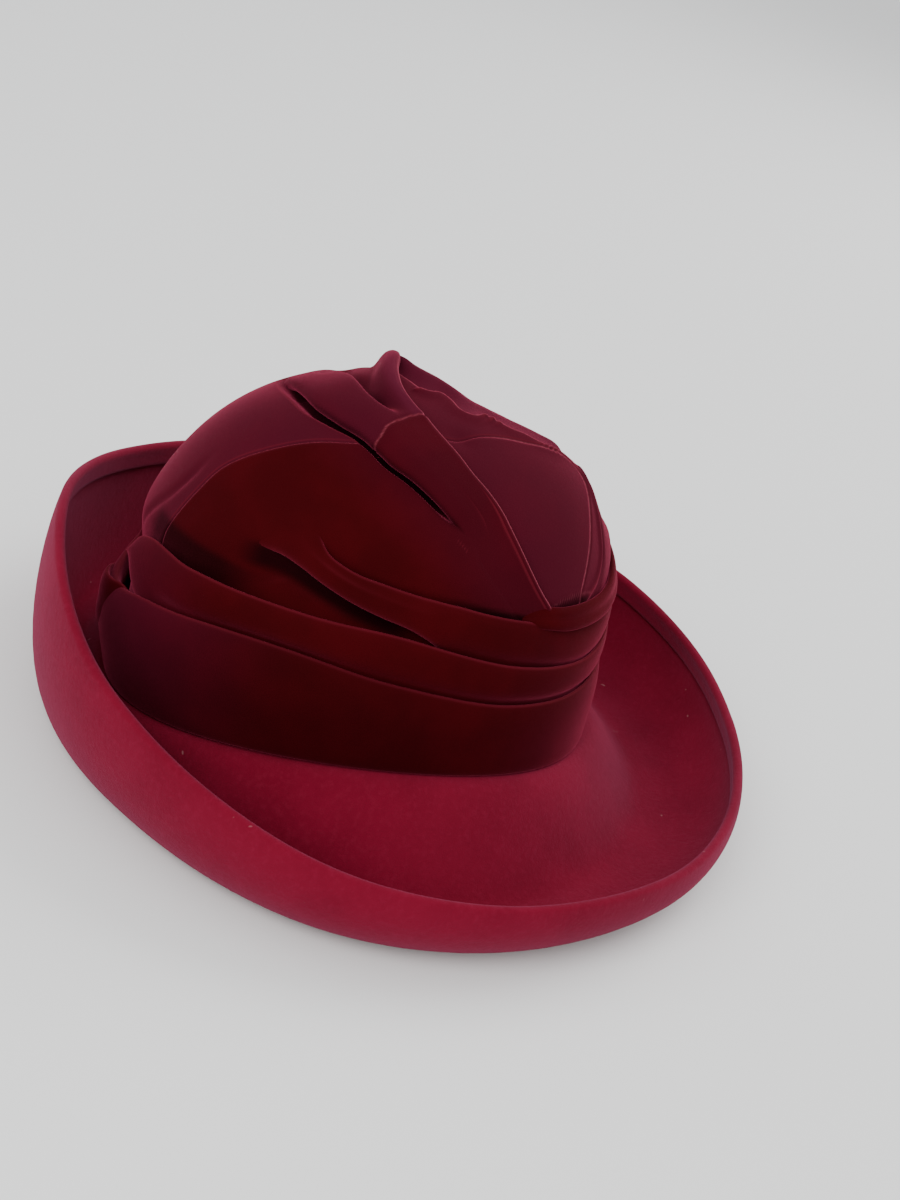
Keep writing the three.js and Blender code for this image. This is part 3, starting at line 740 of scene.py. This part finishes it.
# %% The long fold across the crown and its crest
LONG_FOLD = {
    "columns": ["left_across", "left_back", "right_across", "right_back", "roll", "first",
                "tongue", "lip_at", "valley", "foot_at", "crest", "top_at", "edge", "fade"],
    "rows": [
        (50, 40, 58, 4, 0.0, 0.2, -0.4, 0.50, -1.0, 0.72, 0.5, 0.88, 0.2, 0.0),
        (38, 45, 52, 4, 0.2, 0.2, -0.4, 0.50, -1.0, 0.76, 2.0, 0.88, 1.0, 0.2),
        (26, 45.5, 45, 2.6, 0.7, 0.6, 0.1, 0.50, -0.6, 0.80, 5.4, 0.90, 4.4, 0.9),
        (14, 43.5, 36, 2.4, 1.0, 1.2, 1.0, 0.50, -0.4, 0.79, 7.2, 0.90, 6.6, 1.0),
        (1, 40, 24, 3.4, 1.0, 2.0, 2.3, 0.52, -0.2, 0.76, 7.6, 0.89, 7.2, 1.0),
        (-13, 35.5, 9, 5.2, 1.0, 3.0, 3.9, 0.55, 0.0, 0.70, 6.6, 0.87, 6.0, 1.0),
        (-25, 28, -5, 4.8, 1.0, 3.4, 4.4, 0.57, 1.4, 0.66, 5.8, 0.86, 5.2, 1.0),
        (-34, 20, -15.4, 2.0, 1.0, 3.3, 4.5, 0.60, 4.0, 0.68, 4.9, 0.86, 4.6, 1.0),
        (-42, 14, -25.8, -3.6, 1.0, 3.2, 4.2, 0.56, 4.2, 0.68, 4.1, 0.84, 3.8, 1.0),
        (-48, 9.5, -33.4, -8.4, 1.0, 3.2, 4.0, 0.52, 4.0, 0.66, 3.9, 0.84, 3.5, 1.0),
        (-54, 2, -40.4, -13.9, 1.0, 3.0, 3.8, 0.52, 3.8, 0.66, 3.7, 0.84, 3.3, 1.0),
        (-60, -5, -47.8, -19.9, 1.0, 2.8, 3.5, 0.52, 3.6, 0.66, 3.5, 0.84, 3.1, 1.0),
        (-66, -12, -53.4, -26.4, 0.95, 2.3, 3.0, 0.52, 3.2, 0.66, 3.2, 0.84, 2.9, 1.0),
        (-71, -19, -59.0, -32.4, 0.55, 1.3, 1.9, 0.52, 2.4, 0.66, 2.7, 0.84, 2.8, 1.0),
        (-80, -24, -64.5, -37.6, 0.0, 0.1, 0.5, 0.52, 1.1, 0.66, 2.0, 0.84, 2.7, 1.0),
        (-86, -32, -70.0, -43.7, 0.0, 0.0, 0.3, 0.52, 0.9, 0.66, 1.8, 0.84, 2.6, 1.0),
        (-91, -42, -75.0, -50.5, 0.0, 0.0, 0.3, 0.52, 0.8, 0.66, 1.7, 0.84, 2.5, 1.0),
        (-95, -53, -79.0, -58.2, 0.0, 0.0, 0.3, 0.52, 0.8, 0.66, 1.6, 0.84, 2.3, 1.0),
        (-97, -65, -81.2, -66.6, 0.0, 0.0, 0.3, 0.52, 0.7, 0.66, 1.4, 0.84, 2.0, 1.0),
        (-98, -78, -82.5, -77, 0.0, 0.0, 0.2, 0.52, 0.5, 0.66, 0.8, 0.84, 1.2, 1.0),
    ],
}
FOLD_SEAM = [(-44, 18), (-38, 13), (-33, 10.5), (-29, 6), (-25.5, 1), (-24, -3), (-26, -8)]
print("the long fold has", len(LONG_FOLD["rows"]), "stations")


# %% [markdown]
# ## The section of the long fold
# One function draws the section at all stations at once. Its left edge blends from rolled under
# to merged with the crown, and where the strip lies flat its middle evens out into one slope.

# %% Draw the long fold's section
def long_fold_section(at, width):
    first = at["first"]
    rolled = [(8.0, -6.0), (4.6, -5.8), (2.2, -4.6), (0.2, -1.6), (0.8, first * 0.55), (3.4, first)]
    merged = [(-14.0, -2.9), (-10.0, -1.9), (-6.0, -1.1), (-2.0, -0.6),
              (0.06 * width, first * 0.6 - 0.3), (0.15 * width, first)]
    rows = pick(at["roll"], merged, rolled)
    lip, foot, top = at["lip_at"], at["foot_at"], at["top_at"]
    fall, rise = at["tongue"] - at["valley"], at["crest"] - at["valley"]
    rows += [
        (0.5 * lip * width, at["tongue"] - 0.05 * fall),
        ((lip - 0.12) * width, at["tongue"] + 0.05 * fall),
        ((lip - 0.04) * width, at["tongue"] + 0.05 * fall),
        ((lip + 0.005) * width, at["tongue"] - 0.4 * fall),
        ((lip + 0.025) * width, at["valley"] + 0.05 * fall),
        ((0.5 * lip + 0.5 * foot + 0.01) * width, at["valley"]),
        ((foot - 0.01) * width, at["valley"] + 0.04 * rise),
        ((0.65 * foot + 0.35 * top) * width, at["valley"] + 0.6 * rise),
        ((0.25 * foot + 0.75 * top) * width, at["crest"] - 0.04 * rise),
        ((0.4 * top + 0.6) * width - 1.0, at["crest"] + 0.04 * rise),
        (width - 2.0, at["edge"] + 0.5),
        (width - 0.3, at["edge"] + 0.1),
        (width + 0.5, at["edge"] * 0.8 - 0.6),
        (width + 0.3, at["edge"] * 0.4 - 0.8),
        (width - 1.6, -0.8),
        (width - 4.0, -1.8),
        (width - 7.0, -2.6),
    ]
    even = (1 - at["roll"]) * ramp(-at["left_back"], 5, 19)
    reach = np.clip([x / width + 0 * width for x, _ in rows], 0, 1)
    slope = (at["edge"] + 0.6) * reach**1.5 - 0.6
    rows = [(x, z * (1 - even) + even * slope[i]) if 3 < i < 16 else (x, z)
            for i, (x, z) in enumerate(rows)]
    sink = 3.2 * (1 - at["fade"])
    return np.stack([np.stack([x + 0 * width, z * at["fade"] - sink], -1) for x, z in rows], 1)


at = stations(LONG_FOLD, 280)
points, spot, run, width = fold_points(at, long_fold_section, 120)
across, back = spot[..., 0], spot[..., 1]
print("the long fold is", round(float(width.max())), "mm across where it is widest")

# %% [markdown]
# ## Stitching the long fold, and its painted shade and highlights
# A short seam crosses the fold and pulls it in, and a stitch dimples its tongue. The pile is
# rubbed pale along the seam. A pale highlight is painted along the turned edge, a pinkish sheen
# beyond the seam and on the crest, and shade is painted dark down in the groove and under the
# tongue's lip.

# %% Stitch the long fold, paint its shade and highlights, and lay it
_, off = beside(FOLD_SEAM, across, back)
normal = openness(points, False)[1]
direction = np.sign((normal * (points - HEART)).sum())
dimple = 2.0 * hump(across - 22, 6) * hump(back - 29.5, 2.4)
sewn = 0.45 * hump(off, 0.7) - 0.25 * hump(off, 3.0)
points = points - direction * normal * (sewn + dimple * (run > 3))[..., None]
ridge_end = ramp(back, -72, -62) * (1 - 0.5 * ramp(across, 0, 20))
# Seam wear along the short seam, and a painted highlight along the turned edge.
marks = np.maximum(0.55 * hump(off, 0.6), hump(run - width + 0.1, 0.7) * ridge_end)
beyond = ramp(off, -0.8, 0.8)
# A pinkish sheen is painted beyond the seam and along the crest.
crest_sheen = 0.35 * hump(run / width - 0.90, 0.11)
nap = painted_sheen_of_side(across, back) * (1 - beyond) + (0.45 + crest_sheen) * beyond
# Shade is painted dark down in the groove and under the tongue's lip.
deep = in_groove(across, back)[0]
beyond_lip = run - (at["lip_at"] * width[:, 0])[:, None] - 0.6
overhung = ramp(at["tongue"] - at["valley"], 1.4, 3.0)[:, None]
overhung = overhung * ramp(beyond_lip, -0.8, 0.4) * (1 - ramp(beyond_lip, 1.2, 4.2))
pressed = np.maximum(deep * ramp(1.0 - run, 0, 1.2), 0.75 * overhung)
pressed = np.maximum(pressed, over_pleat(across, back))
long_fold = lay_cloth("crown_long_fold", points, wall=0.8, marks=marks, nap=nap, pressed=pressed)

# %% [markdown]
# ## The wave
# Beside the crest a smaller tuck runs forward with a wavy lip. Its left edge dips under the
# crown's cloth, its rim stands up along the middle, and its right side runs out flat.

# %% The wave beside the crest
WAVE_FOLD = {
    "columns": ["left_across", "left_back", "right_across", "right_back", "dip", "rim", "fade"],
    "rows": [
        (18, 8.5, 47, 12, 0.5, 4.0, 0.6),
        (13, 5.0, 46, 7, 0.2, 6.0, 1.0),
        (8.2, 1.6, 45, 2, -1.0, 5.9, 1.0),
        (3.6, -1.6, 44, -3, -2.0, 3.8, 1.0),
        (0.8, -4.4, 43, -8, -2.6, 2.8, 1.0),
        (0.9, -9.8, 43, -14, -3.0, 1.9, 1.0),
        (-3.4, -13.2, 42, -19, -3.2, 1.5, 1.0),
        (-9.7, -16.2, 41, -24, -3.2, 1.2, 1.0),
        (-11.6, -21.2, 39, -29, -3.2, 0.9, 1.0),
        (-8.3, -26.1, 37, -34, -3.0, 0.8, 1.0),
        (-10.1, -31.2, 35, -40, -2.8, 0.6, 1.0),
        (-11.6, -35.1, 33, -44, -2.6, 0.6, 1.0),
        (-10.8, -41, 30, -50, -2.2, 0.8, 1.0),
        (-10.7, -47.5, 26, -56, -1.6, 1.0, 1.0),
        (-6.6, -56.3, 18, -63, -0.8, 0.9, 1.0),
        (-0.3, -65.3, 8, -72, 0.0, 0.2, 0.0),
    ],
}


def wave_section(at, width):
    dip, rim = at["dip"], at["rim"]
    rows = [(0.6, -6.4), (1.0, -5.8), (1.8, -4.8), (3.2, dip - 0.9), (6.0, dip),
            (0.24 * width, dip + 0.2), (0.36 * width, rim * 0.3 + dip * 0.4),
            (0.45 * width, rim * 0.95), (0.52 * width, rim + 0.3), (0.62 * width, rim * 0.7),
            (0.78 * width, rim * 0.2 - 0.4), (0.92 * width, -2.2), (1.0 * width, -3.2)]
    sink = 2.6 * (1 - at["fade"])
    return np.stack([np.stack([x + 0 * width, z * at["fade"] - sink], -1) for x, z in rows], 1)


points = fold_points(stations(WAVE_FOLD, 190), wave_section, 76)[0]
# A pinkish sheen is painted over the whole wave.
wave_fold = lay_cloth("crown_wave_fold", points, wall=0.8, nap=0.75)

# %% [markdown]
# ## Pleated band
# The band is folded, not cut, along its upper edges: each pleat comes up from behind the one
# below, bulges a little, turns over in a soft roll and goes down again behind itself. The top
# pleat grows out of the side of the crown, where its lower edge hangs free over a deep hollow.

# %% Sections of the pleats
def turned_from(bearing, middle):
    """How many degrees a bearing is from a middle one, from -180 to 180."""
    return np.mod(bearing - middle + 180, 360) - 180


def drawn_in(bearing, height):
    """The band is pulled in towards its foot at the front."""
    return 3.4 * hump(turned_from(bearing, 8), 34) * ramp(58 - height, 0, 30)


def pleat_points(bearings, controls, count):
    """A pleat's grid from (height, out) controls at each bearing."""
    stack = np.stack([np.stack([h + 0 * bearings, o + 0 * bearings], -1) for h, o in controls], 1)
    curve = leaning_curve(stack, count)
    turn = np.repeat(bearings[:, None], count, 1)
    return crown_form(turn, curve[..., 0], curve[..., 1] - drawn_in(turn, curve[..., 0]))


print("the band is drawn in", round(float(drawn_in(8, 20)), 1), "mm at the front of its foot")

# %% [markdown]
# ## Low pleat
# The tallest pleat goes all the way round and joins itself, so its last section is its first. It
# lifts a little off the felt on the wearer's right, and bulges where the pleats meet at the back.

# %% Lay the low pleat
bearings = np.linspace(0, 360, 361)
foot = foot_height(bearings)
edge = edge_height(LOW_EDGE, bearings) + 0.5 * unevenness(bearings, 11, 120)
edge[-1] = edge[0]
tall = edge - foot
lift = 0.9 * hump(turned_from(bearings, 118), 26)
full = 3.6 * hump(bearings - 180, 15)
points = pleat_points(bearings, [
    (foot + 5.5, -1.5), (foot + 2.0, -1.2), (foot + 0.3 + lift, -0.2),
    (foot + 0.4 + lift, 1.2 + lift), (foot + 3.0 + lift, 1.9 + lift),
    (foot + 0.25 * tall, 1.7 + 0.5 * full), (foot + 0.5 * tall, 2.1 + full),
    (foot + 0.75 * tall, 2.0 + full), (edge - 4.5, 1.4 + 0.8 * full),
    (edge - 1.4, 0.8 + 0.6 * full), (edge + 0.3, 0.1 + 0.3 * full),
    (edge - 0.1, -1.0), (edge - 3, -1.7), (edge - 14, -2.2),
], 46)
points[-1] = points[0]
# A pinkish sheen is painted towards the back, and shade a little darker around bearing 100.
nap = 0.45 * ramp(np.abs(turned_from(bearings, 0))[:, None], 105, 160)
pressed = 0.28 * hump(bearings[:, None] - 100, 32)
band_low = lay_cloth("band_pleat_lower", points, wall=0.9, closed=True, nap=nap, pressed=pressed)

# %% [markdown]
# ## Middle pleat
# The middle pleat comes up from behind the low one. At the back it doesn't meet itself: its two
# ends are rounded and come free of the pleat below. A column called free says where the lower
# edge hangs in front, and where it is hidden behind.

# %% Lay the middle pleat, with its rounded ends at the back
MIDDLE_ENDS = {"bearing": [-173.5, -171, -167, -160, -152, -140, 140, 152, 160, 167, 171, 173.5],
               "lower": [41, 38.5, 36.5, 33.5, 28, 32, 32, 30, 36.5, 41.5, 44.5, 46.5],
               "upper": [43, 49, 54, 58, 61, 63, 64.5, 64.0, 63, 59.5, 55, 49],
               "free": [1, 1, 1, 0.6, 0, 0, 0, 0, 0.6, 1, 1, 1]}
BEHIND = 7
bearings = np.linspace(-173.5, 173.5, 360)
lower_end, upper_end, free = (read_between(MIDDLE_ENDS["bearing"], MIDDLE_ENDS[key], bearings)
                              for key in ("lower", "upper", "free"))
ending = ramp(np.abs(bearings), 140, 152)
upper = edge_height(MIDDLE_EDGE, bearings) + 0.5 * unevenness(bearings, 12, 110)
upper = upper * (1 - ending) + upper_end * ending
lower = (edge_height(LOW_EDGE, bearings) - BEHIND) * (1 - free) + lower_end * free
half = np.minimum(1, (upper - lower) / 12)
hidden = [(lower, -2.9), (lower + 3, -2.7), (lower + 6.5, -2.4), (lower + 8.5, -1.4)]
hanging = [(lower + 3 * half, -3.4), (lower + 0.3, -3.0), (lower - 0.2, -1.2),
           (lower + 1.8 * half, 0.5)]
middle_rows = pick(free, hidden, hanging) + [
    ((lower + upper) / 2, 1.1 + 0.6 * free), (upper - 4.0 * half, 0.9 + 0.2 * free),
    (upper - 1.4, 0.4), (upper + 0.3, -0.3), (upper - 0.2, -1.5), (upper - 3.0 * half, -2.4),
    (upper - 10 * half, -3.2)]
sunk = 4.6 * ramp(-bearings, 140, 160)
points = pleat_points(bearings, [(height, out - sunk) for height, out in middle_rows], 46)
# A pinkish sheen is painted towards the rounded ends at the back.
nap = 0.3 * ramp(np.abs(bearings)[:, None], 128, 165)
band_middle = lay_cloth("band_pleat_middle_roll", points, wall=0.9, nap=nap)

# %% [markdown]
# ## Top pleat
# At the front the top pleat is a roll like the others. Towards the sides its upper edge grows
# into the crown's cloth, and its lower edge comes free and hangs over a deep pocket. It sinks
# into the crown at both ends.

# %% Lay the top pleat, which grows out of the crown's side
TOP_PLEAT = {"bearing": [-128, -120, -114, -106, -96, -86, -78, *FREE_EDGE["bearing"]],
             "lower": [82, 81, 79, 76, 71, 66, 60, *FREE_EDGE["height"]],
             "upper": [90, 88, 88, 86, 85, 84.5, 84,
                       77, 79, 80.5, 82, 83.5, 87, 91, 94, 96, 96, 94],
             "free": [1, 1, 1, 1, 1, 1, 0, 0, 1, 1, 1, 1, 1, 1, 1, 1, 1, 1]}
bearings = np.linspace(-128, 150, 310)
lower_side, upper_side, free = (read_between(TOP_PLEAT["bearing"], TOP_PLEAT[key], bearings)
                                for key in ("lower", "upper", "free"))
sides = ramp(np.abs(bearings), 72, 86)
upper = edge_height(TOP_EDGE, bearings) * (1 - sides) + upper_side * sides
upper += 0.5 * unevenness(bearings, 13, 90)
lower = (edge_height(MIDDLE_EDGE, bearings) - BEHIND) * (1 - free) + lower_side * free
grown = ramp(np.abs(bearings), 108, 126)
half = np.minimum(1, (upper - lower) / 12)
hidden = [(lower, -3.8), (lower + 3, -3.6), (lower + 6.5, -3.2), (lower + 9.0, -2.0)]
fading = np.where(bearings > 0, 2.6 * ramp(bearings, 137, 150), 5.5 * ramp(-bearings, 108, 126))
hanging = [(lower + 5 * half, -5.6), (lower + 1.2, -5.2), (lower - 0.8, -3.0 - fading),
           (lower + 0.9 * half, -0.5 - fading)]
rolled = [(upper - 4.0 * half, 0.8), (upper - 1.3, 0.3), (upper + 0.5, -0.5), (upper - 0.2, -2.0),
          (upper - 4 * half, -3.6), (upper - 9 * half, -4.6)]
growing = [(upper - 3, -0.1 - fading), (upper + 2, -0.35 - fading), (upper + 7, -0.8 - fading),
           (upper + 12, -1.6 - fading), (upper + 17, -2.6 - fading), (upper + 21, -3.6 - fading)]
halfway = [((lower + upper) / 2, 0.4 - 0.4 * grown - fading)]
controls = pick(free, hidden, hanging) + halfway + pick(grown, rolled, growing)
points = pleat_points(bearings, controls, 48)
band_top = lay_cloth("band_pleat_upper", points, wall=0.9)

# %% [markdown]
# ## Knot and loop
# At the front a narrow strip is turned round the band below the long fold, and at the back the
# ends of the pleats are caught under a small loop. Each is a tube of cloth, wide and flat, drawn
# along its middle line and closed to a point at both ends.

# %% Wrap the knot and the loop
FRONT_KNOT = {
    "columns": ["bearing", "height", "out", "tall", "thick"],
    "rows": [
        (58, 70.8, -3.0, 1.8, 0.8), (55, 70.6, -0.9, 3.4, 1.2), (51, 69.8, 0.9, 4.2, 1.6),
        (45, 68.0, 1.8, 4.5, 1.9), (37, 66.8, 2.1, 4.6, 2.0), (29, 66.2, 2.1, 4.6, 2.0),
        (20, 66.4, 1.8, 4.5, 2.0), (8, 68, 1.2, 4.2, 1.9), (-6, 72.5, 0.6, 3.8, 1.8),
        (-18, 78.5, 0.0, 3.0, 1.5), (-30, 84, -2.4, 1.6, 0.9),
    ],
}
BACK_LOOP = {
    "columns": ["bearing", "height", "out", "tall", "thick"],
    "rows": [
        (160, 31, -3.2, 2.0, 0.8), (165, 29.0, -1.8, 6.0, 1.3), (169, 26.8, 0.2, 9.0, 1.7),
        (173, 23.6, 3.0, 10.8, 2.0), (178, 20.8, 4.6, 11.8, 2.3), (183, 19.5, 4.4, 11.6, 2.2),
        (188, 19.5, 2.8, 9.0, 1.9), (193, 20.5, 0.0, 5.0, 1.3), (198, 22, -2.8, 1.5, 0.8),
    ],
}


def wrapped(table, dimple):
    """A flattened tube along a table's middle line, dented along its outer face."""
    at = stations(table, 72)
    turn = np.linspace(0, 2 * np.pi, 49)
    height = at["height"][:, None] + at["tall"][:, None] * np.sin(turn)
    flatten = 1 - dimple * np.cos(turn) * hump(np.sin(turn), 0.45) * (np.cos(turn) > 0)
    out = at["out"][:, None] + at["thick"][:, None] * np.cos(turn) * flatten
    tube = crown_form(np.repeat(at["bearing"][:, None], len(turn), 1), height, out)
    first, last = (np.repeat(end.mean(1, keepdims=True), len(turn), 1)
                   for end in (tube[:1], tube[-1:]))
    return np.concatenate([first, tube, last])


points = wrapped(FRONT_KNOT, 0.35)
knot = lay_cloth("band_front_knot", points, wall=0.5, inside=points.mean((0, 1)))
points = wrapped(BACK_LOOP, 0.2)
loop = lay_cloth("band_back_loop", points, wall=0.5, inside=points.mean((0, 1)))

# %% [markdown]
# ## Writing a finish
# A material is arithmetic on a surface. Wiring it node by node is slow to read, so a small class
# wraps each socket: adding or multiplying two of them makes the Math node. Colours and vectors
# can't go through Math nodes, so every other node is made by one method.

# %% Arithmetic on sockets
class Wire:
    """A node's output that can be used in sums."""

    def __init__(self, finish, socket):
        self.finish, self.socket = finish, socket

    def _sum(self, operation, first, second):
        return self.finish.node("ShaderNodeMath", {"operation": operation}, first, second)

    def __add__(self, other):
        return self._sum("ADD", self, other)

    def __radd__(self, other):
        return self._sum("ADD", other, self)

    def __sub__(self, other):
        return self._sum("SUBTRACT", self, other)

    def __rsub__(self, other):
        return self._sum("SUBTRACT", other, self)

    def __mul__(self, other):
        return self._sum("MULTIPLY", self, other)

    def __rmul__(self, other):
        return self._sum("MULTIPLY", other, self)


class Finish:
    """A material and the nodes in it."""

    def __init__(self, name):
        self.material = bpy.data.materials.new(name)
        self.material.use_nodes = True
        self.nodes = self.material.node_tree.nodes
        self.links = self.material.node_tree.links
        self.surface = self.nodes["Principled BSDF"]
        self.place = self.node("ShaderNodeTexCoord", {}, output="Object")

    def fill(self, sockets, key, value):
        if isinstance(value, Wire):
            self.links.new(value.socket, sockets[key])
        else:
            sockets[key].default_value = value

    def node(self, kind, settings, *values, output=0, **named):
        made = self.nodes.new(kind)
        for key, value in settings.items():
            if key == "stops":
                ramp_of = made.color_ramp
                while len(ramp_of.elements) < len(value):
                    ramp_of.elements.new(0.5)
                for element, (position, colour) in zip(ramp_of.elements, value):
                    element.position, element.color = position, colour
            else:
                setattr(made, key, value)
        by_name = {key.replace("_", " "): value for key, value in named.items()}
        for key, value in [*enumerate(values), *by_name.items()]:
            self.fill(made.inputs, key, value)
        return Wire(self, made.outputs[output])

    def set(self, **named):
        for key, value in named.items():
            self.fill(self.surface.inputs, key.replace("_", " "), value)

    def noise(self, scale, detail=2.0, roughness=0.5, place=None):
        return self.node("ShaderNodeTexNoise", {}, Vector=place or self.place, Scale=scale,
                         Detail=detail, Roughness=roughness, output="Fac")

    def attribute(self, name):
        return self.node("ShaderNodeAttribute", {"attribute_name": name}, output="Fac")

    def steps(self, value, low, high):
        return self.node("ShaderNodeMapRange", {"interpolation_type": "SMOOTHSTEP"}, Value=value,
                         From_Min=low, From_Max=high)

    def blend(self, amount, first, second):
        made = self.nodes.new("ShaderNodeMix")
        made.data_type = "RGBA"
        for key, value in ((0, amount), (6, first), (7, second)):
            self.fill(made.inputs, key, value)
        return Wire(self, made.outputs[2])

    def bump(self, height, strength, distance):
        return self.node("ShaderNodeBump", {}, Height=height, Strength=strength, Distance=distance)


# %% [markdown]
# ## Velvet
# Velvet is a dense pile standing up from the cloth. Looked at straight on, light falls between
# the threads and is lost, so it is nearly black; at a slant the threads' sides shine. Sheen does
# that. Four attributes on the mesh paint more light and shade into the colour: where the pile
# opens over a fold and a pale highlight is painted, where it is rubbed pale along a seam and a
# highlight is painted along an edge, where a pinkish sheen is painted, and where shade is painted
# nearly black. Soft patches, a fine grain and the pile itself are noise.

# %% Make the velvet
velvet = Finish("velvet_wine")
patches = velvet.steps(velvet.noise(38, 3), 0.35, 0.7)
pile = velvet.noise(2600, 2, 0.7)
grain = velvet.noise(900, 3, 0.6)
opened_and_highlit = velvet.attribute("open_pile")
sewn = velvet.attribute("seam")
deep, full = (0.031, 0.0007, 0.0016, 1), (0.040, 0.0009, 0.0021, 1)
colour = velvet.blend(patches, deep, full)
# A pinkish sheen is painted into the colour.
colour = velvet.blend(velvet.attribute("nap") * 0.9, colour, (0.066, 0.0058, 0.0180, 1))
# A pale highlight is painted where the pile opens over a fold.
colour = velvet.blend(opened_and_highlit * opened_and_highlit * 0.5, colour, (0.105, 0.008, 0.015, 1))
# Seams are rubbed pale, and pale highlights are painted along edges.
rubbed_and_highlit = velvet.steps(sewn * (0.3 + 1.4 * grain), 0.1, 1.1)
colour = velvet.blend(rubbed_and_highlit * 0.6, colour, (0.30, 0.065, 0.09, 1))
# Shade is painted nearly black.
colour = velvet.blend(velvet.attribute("pressed") * 0.92, colour, (0.003, 0.0002, 0.0005, 1))
velvet.set(Base_Color=colour, Roughness=0.8, Sheen_Weight=1.0, Sheen_Roughness=0.34,
           Sheen_Tint=(0.34, 0.036, 0.080, 1), Specular_IOR_Level=0.02,
           Normal=velvet.bump(pile + 0.8 * grain, 0.30, 0.0004))
print("velvet takes", len(velvet.nodes), "nodes")

# %% [markdown]
# ## Wool felt
# Felt is matted wool. It is dull all over, with short fibres standing off it that catch light
# at its edges, a cloudy colour where the dye took more or less, and a few pale flecks of lint.

# %% Make the felt
felt = Finish("felt_raspberry")
clouds = felt.noise(24, 4, 0.6)
matting = felt.noise(420, 5, 0.65)
fibres = felt.noise(1700, 3, 0.7)
lint = felt.steps(felt.noise(260, 0, 0.2), 0.865, 0.885)
dark, light = (0.118, 0.0030, 0.0125, 1), (0.142, 0.0040, 0.0160, 1)
colour = felt.blend(felt.steps(clouds, 0.3, 0.7), dark, light)
colour = felt.blend(felt.steps(matting, 0.45, 0.75) * 0.3, colour, (0.18, 0.009, 0.028, 1))
colour = felt.blend(lint * 0.4, colour, (0.34, 0.15, 0.16, 1))
felt.set(Base_Color=colour, Roughness=0.95, Sheen_Weight=0.35, Sheen_Roughness=0.5,
         Sheen_Tint=(0.42, 0.13, 0.24, 1), Specular_IOR_Level=0.03,
         Normal=felt.bump(matting + 0.7 * fibres, 0.5, 0.0006))
print("felt takes", len(felt.nodes), "nodes")

# %% [markdown]
# ## Floor and light
# The hat stands on a large pale floor under two broad soft lamps. One is high at the back on the
# wearer's right, which is the viewer's side, and one is high at the front on the wearer's left.
# A pale sky fills the shadows.

# %% Light the hat
bpy.ops.object.select_all(action="DESELECT")
bpy.ops.mesh.primitive_plane_add(size=40, location=(0, 0, 0))
floor = bpy.context.object
floor.name = "floor"
paper = Finish("pale_floor")
paper.set(Base_Color=(0.78, 0.78, 0.77, 1), Roughness=0.95, Specular_IOR_Level=0.1)
floor.data.materials.append(paper.material)


def soft_lamp(name, place, target, size, power):
    data = bpy.data.lights.new(name, "AREA")
    data.shape, data.size, data.energy = "DISK", size, power
    lamp = bpy.data.objects.new(name, data)
    bpy.context.scene.collection.objects.link(lamp)
    lamp.location = place
    lamp.rotation_euler = (Vector(target) - Vector(place)).to_track_quat("-Z", "Y").to_euler()
    print(name, "is", round(lamp.location.length, 1), "m away")


soft_lamp("key_lamp", (-1.2, 0.9, 1.3), (0, 0, 0.08), 1.5, 30)
soft_lamp("rear_lamp", (1.0, -1.5, 1.5), (0, 0, 0.08), 1.6, 30)
world = bpy.data.worlds.new("studio")
world.use_nodes = True
sky = world.node_tree.nodes["Background"].inputs
sky["Color"].default_value = (0.97, 0.98, 1.0, 1)
sky["Strength"].default_value = 1.15
bpy.context.scene.world = world

# %% [markdown]
# ## Tie the pieces to the frame
# Each new piece rides on the hat's one body, stands for the plain solids that it covers, and
# names the finish that it takes.

# %% Dress the frame
STANDS_FOR = [
    (brim, "felt", ["brim"]),
    (crown_right, "velvet", ["crown_side_right"]),
    (crown_centre, "velvet", ["crown_centre"]),
    (crown_left, "velvet", ["crown_side_left"]),
    (long_fold, "velvet", ["diagonal_fold", "tip_fold_crest"]),
    (wave_fold, "velvet", ["tip_fold_wave"]),
    (band_low, "velvet", ["band_pleat_low"]),
    (band_middle, "velvet", ["band_pleat_middle"]),
    (band_top, "velvet", ["band_pleat_top"]),
    (knot, "velvet", ["front_knot"]),
    (loop, "velvet", ["back_loop"]),
]
for piece, cloth, nodes in STANDS_FOR:
    piece.data.materials.append((felt if cloth == "felt" else velvet).material)
    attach(piece, "root")
    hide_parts(*nodes)
print("dressed", len(STANDS_FOR), "pieces")
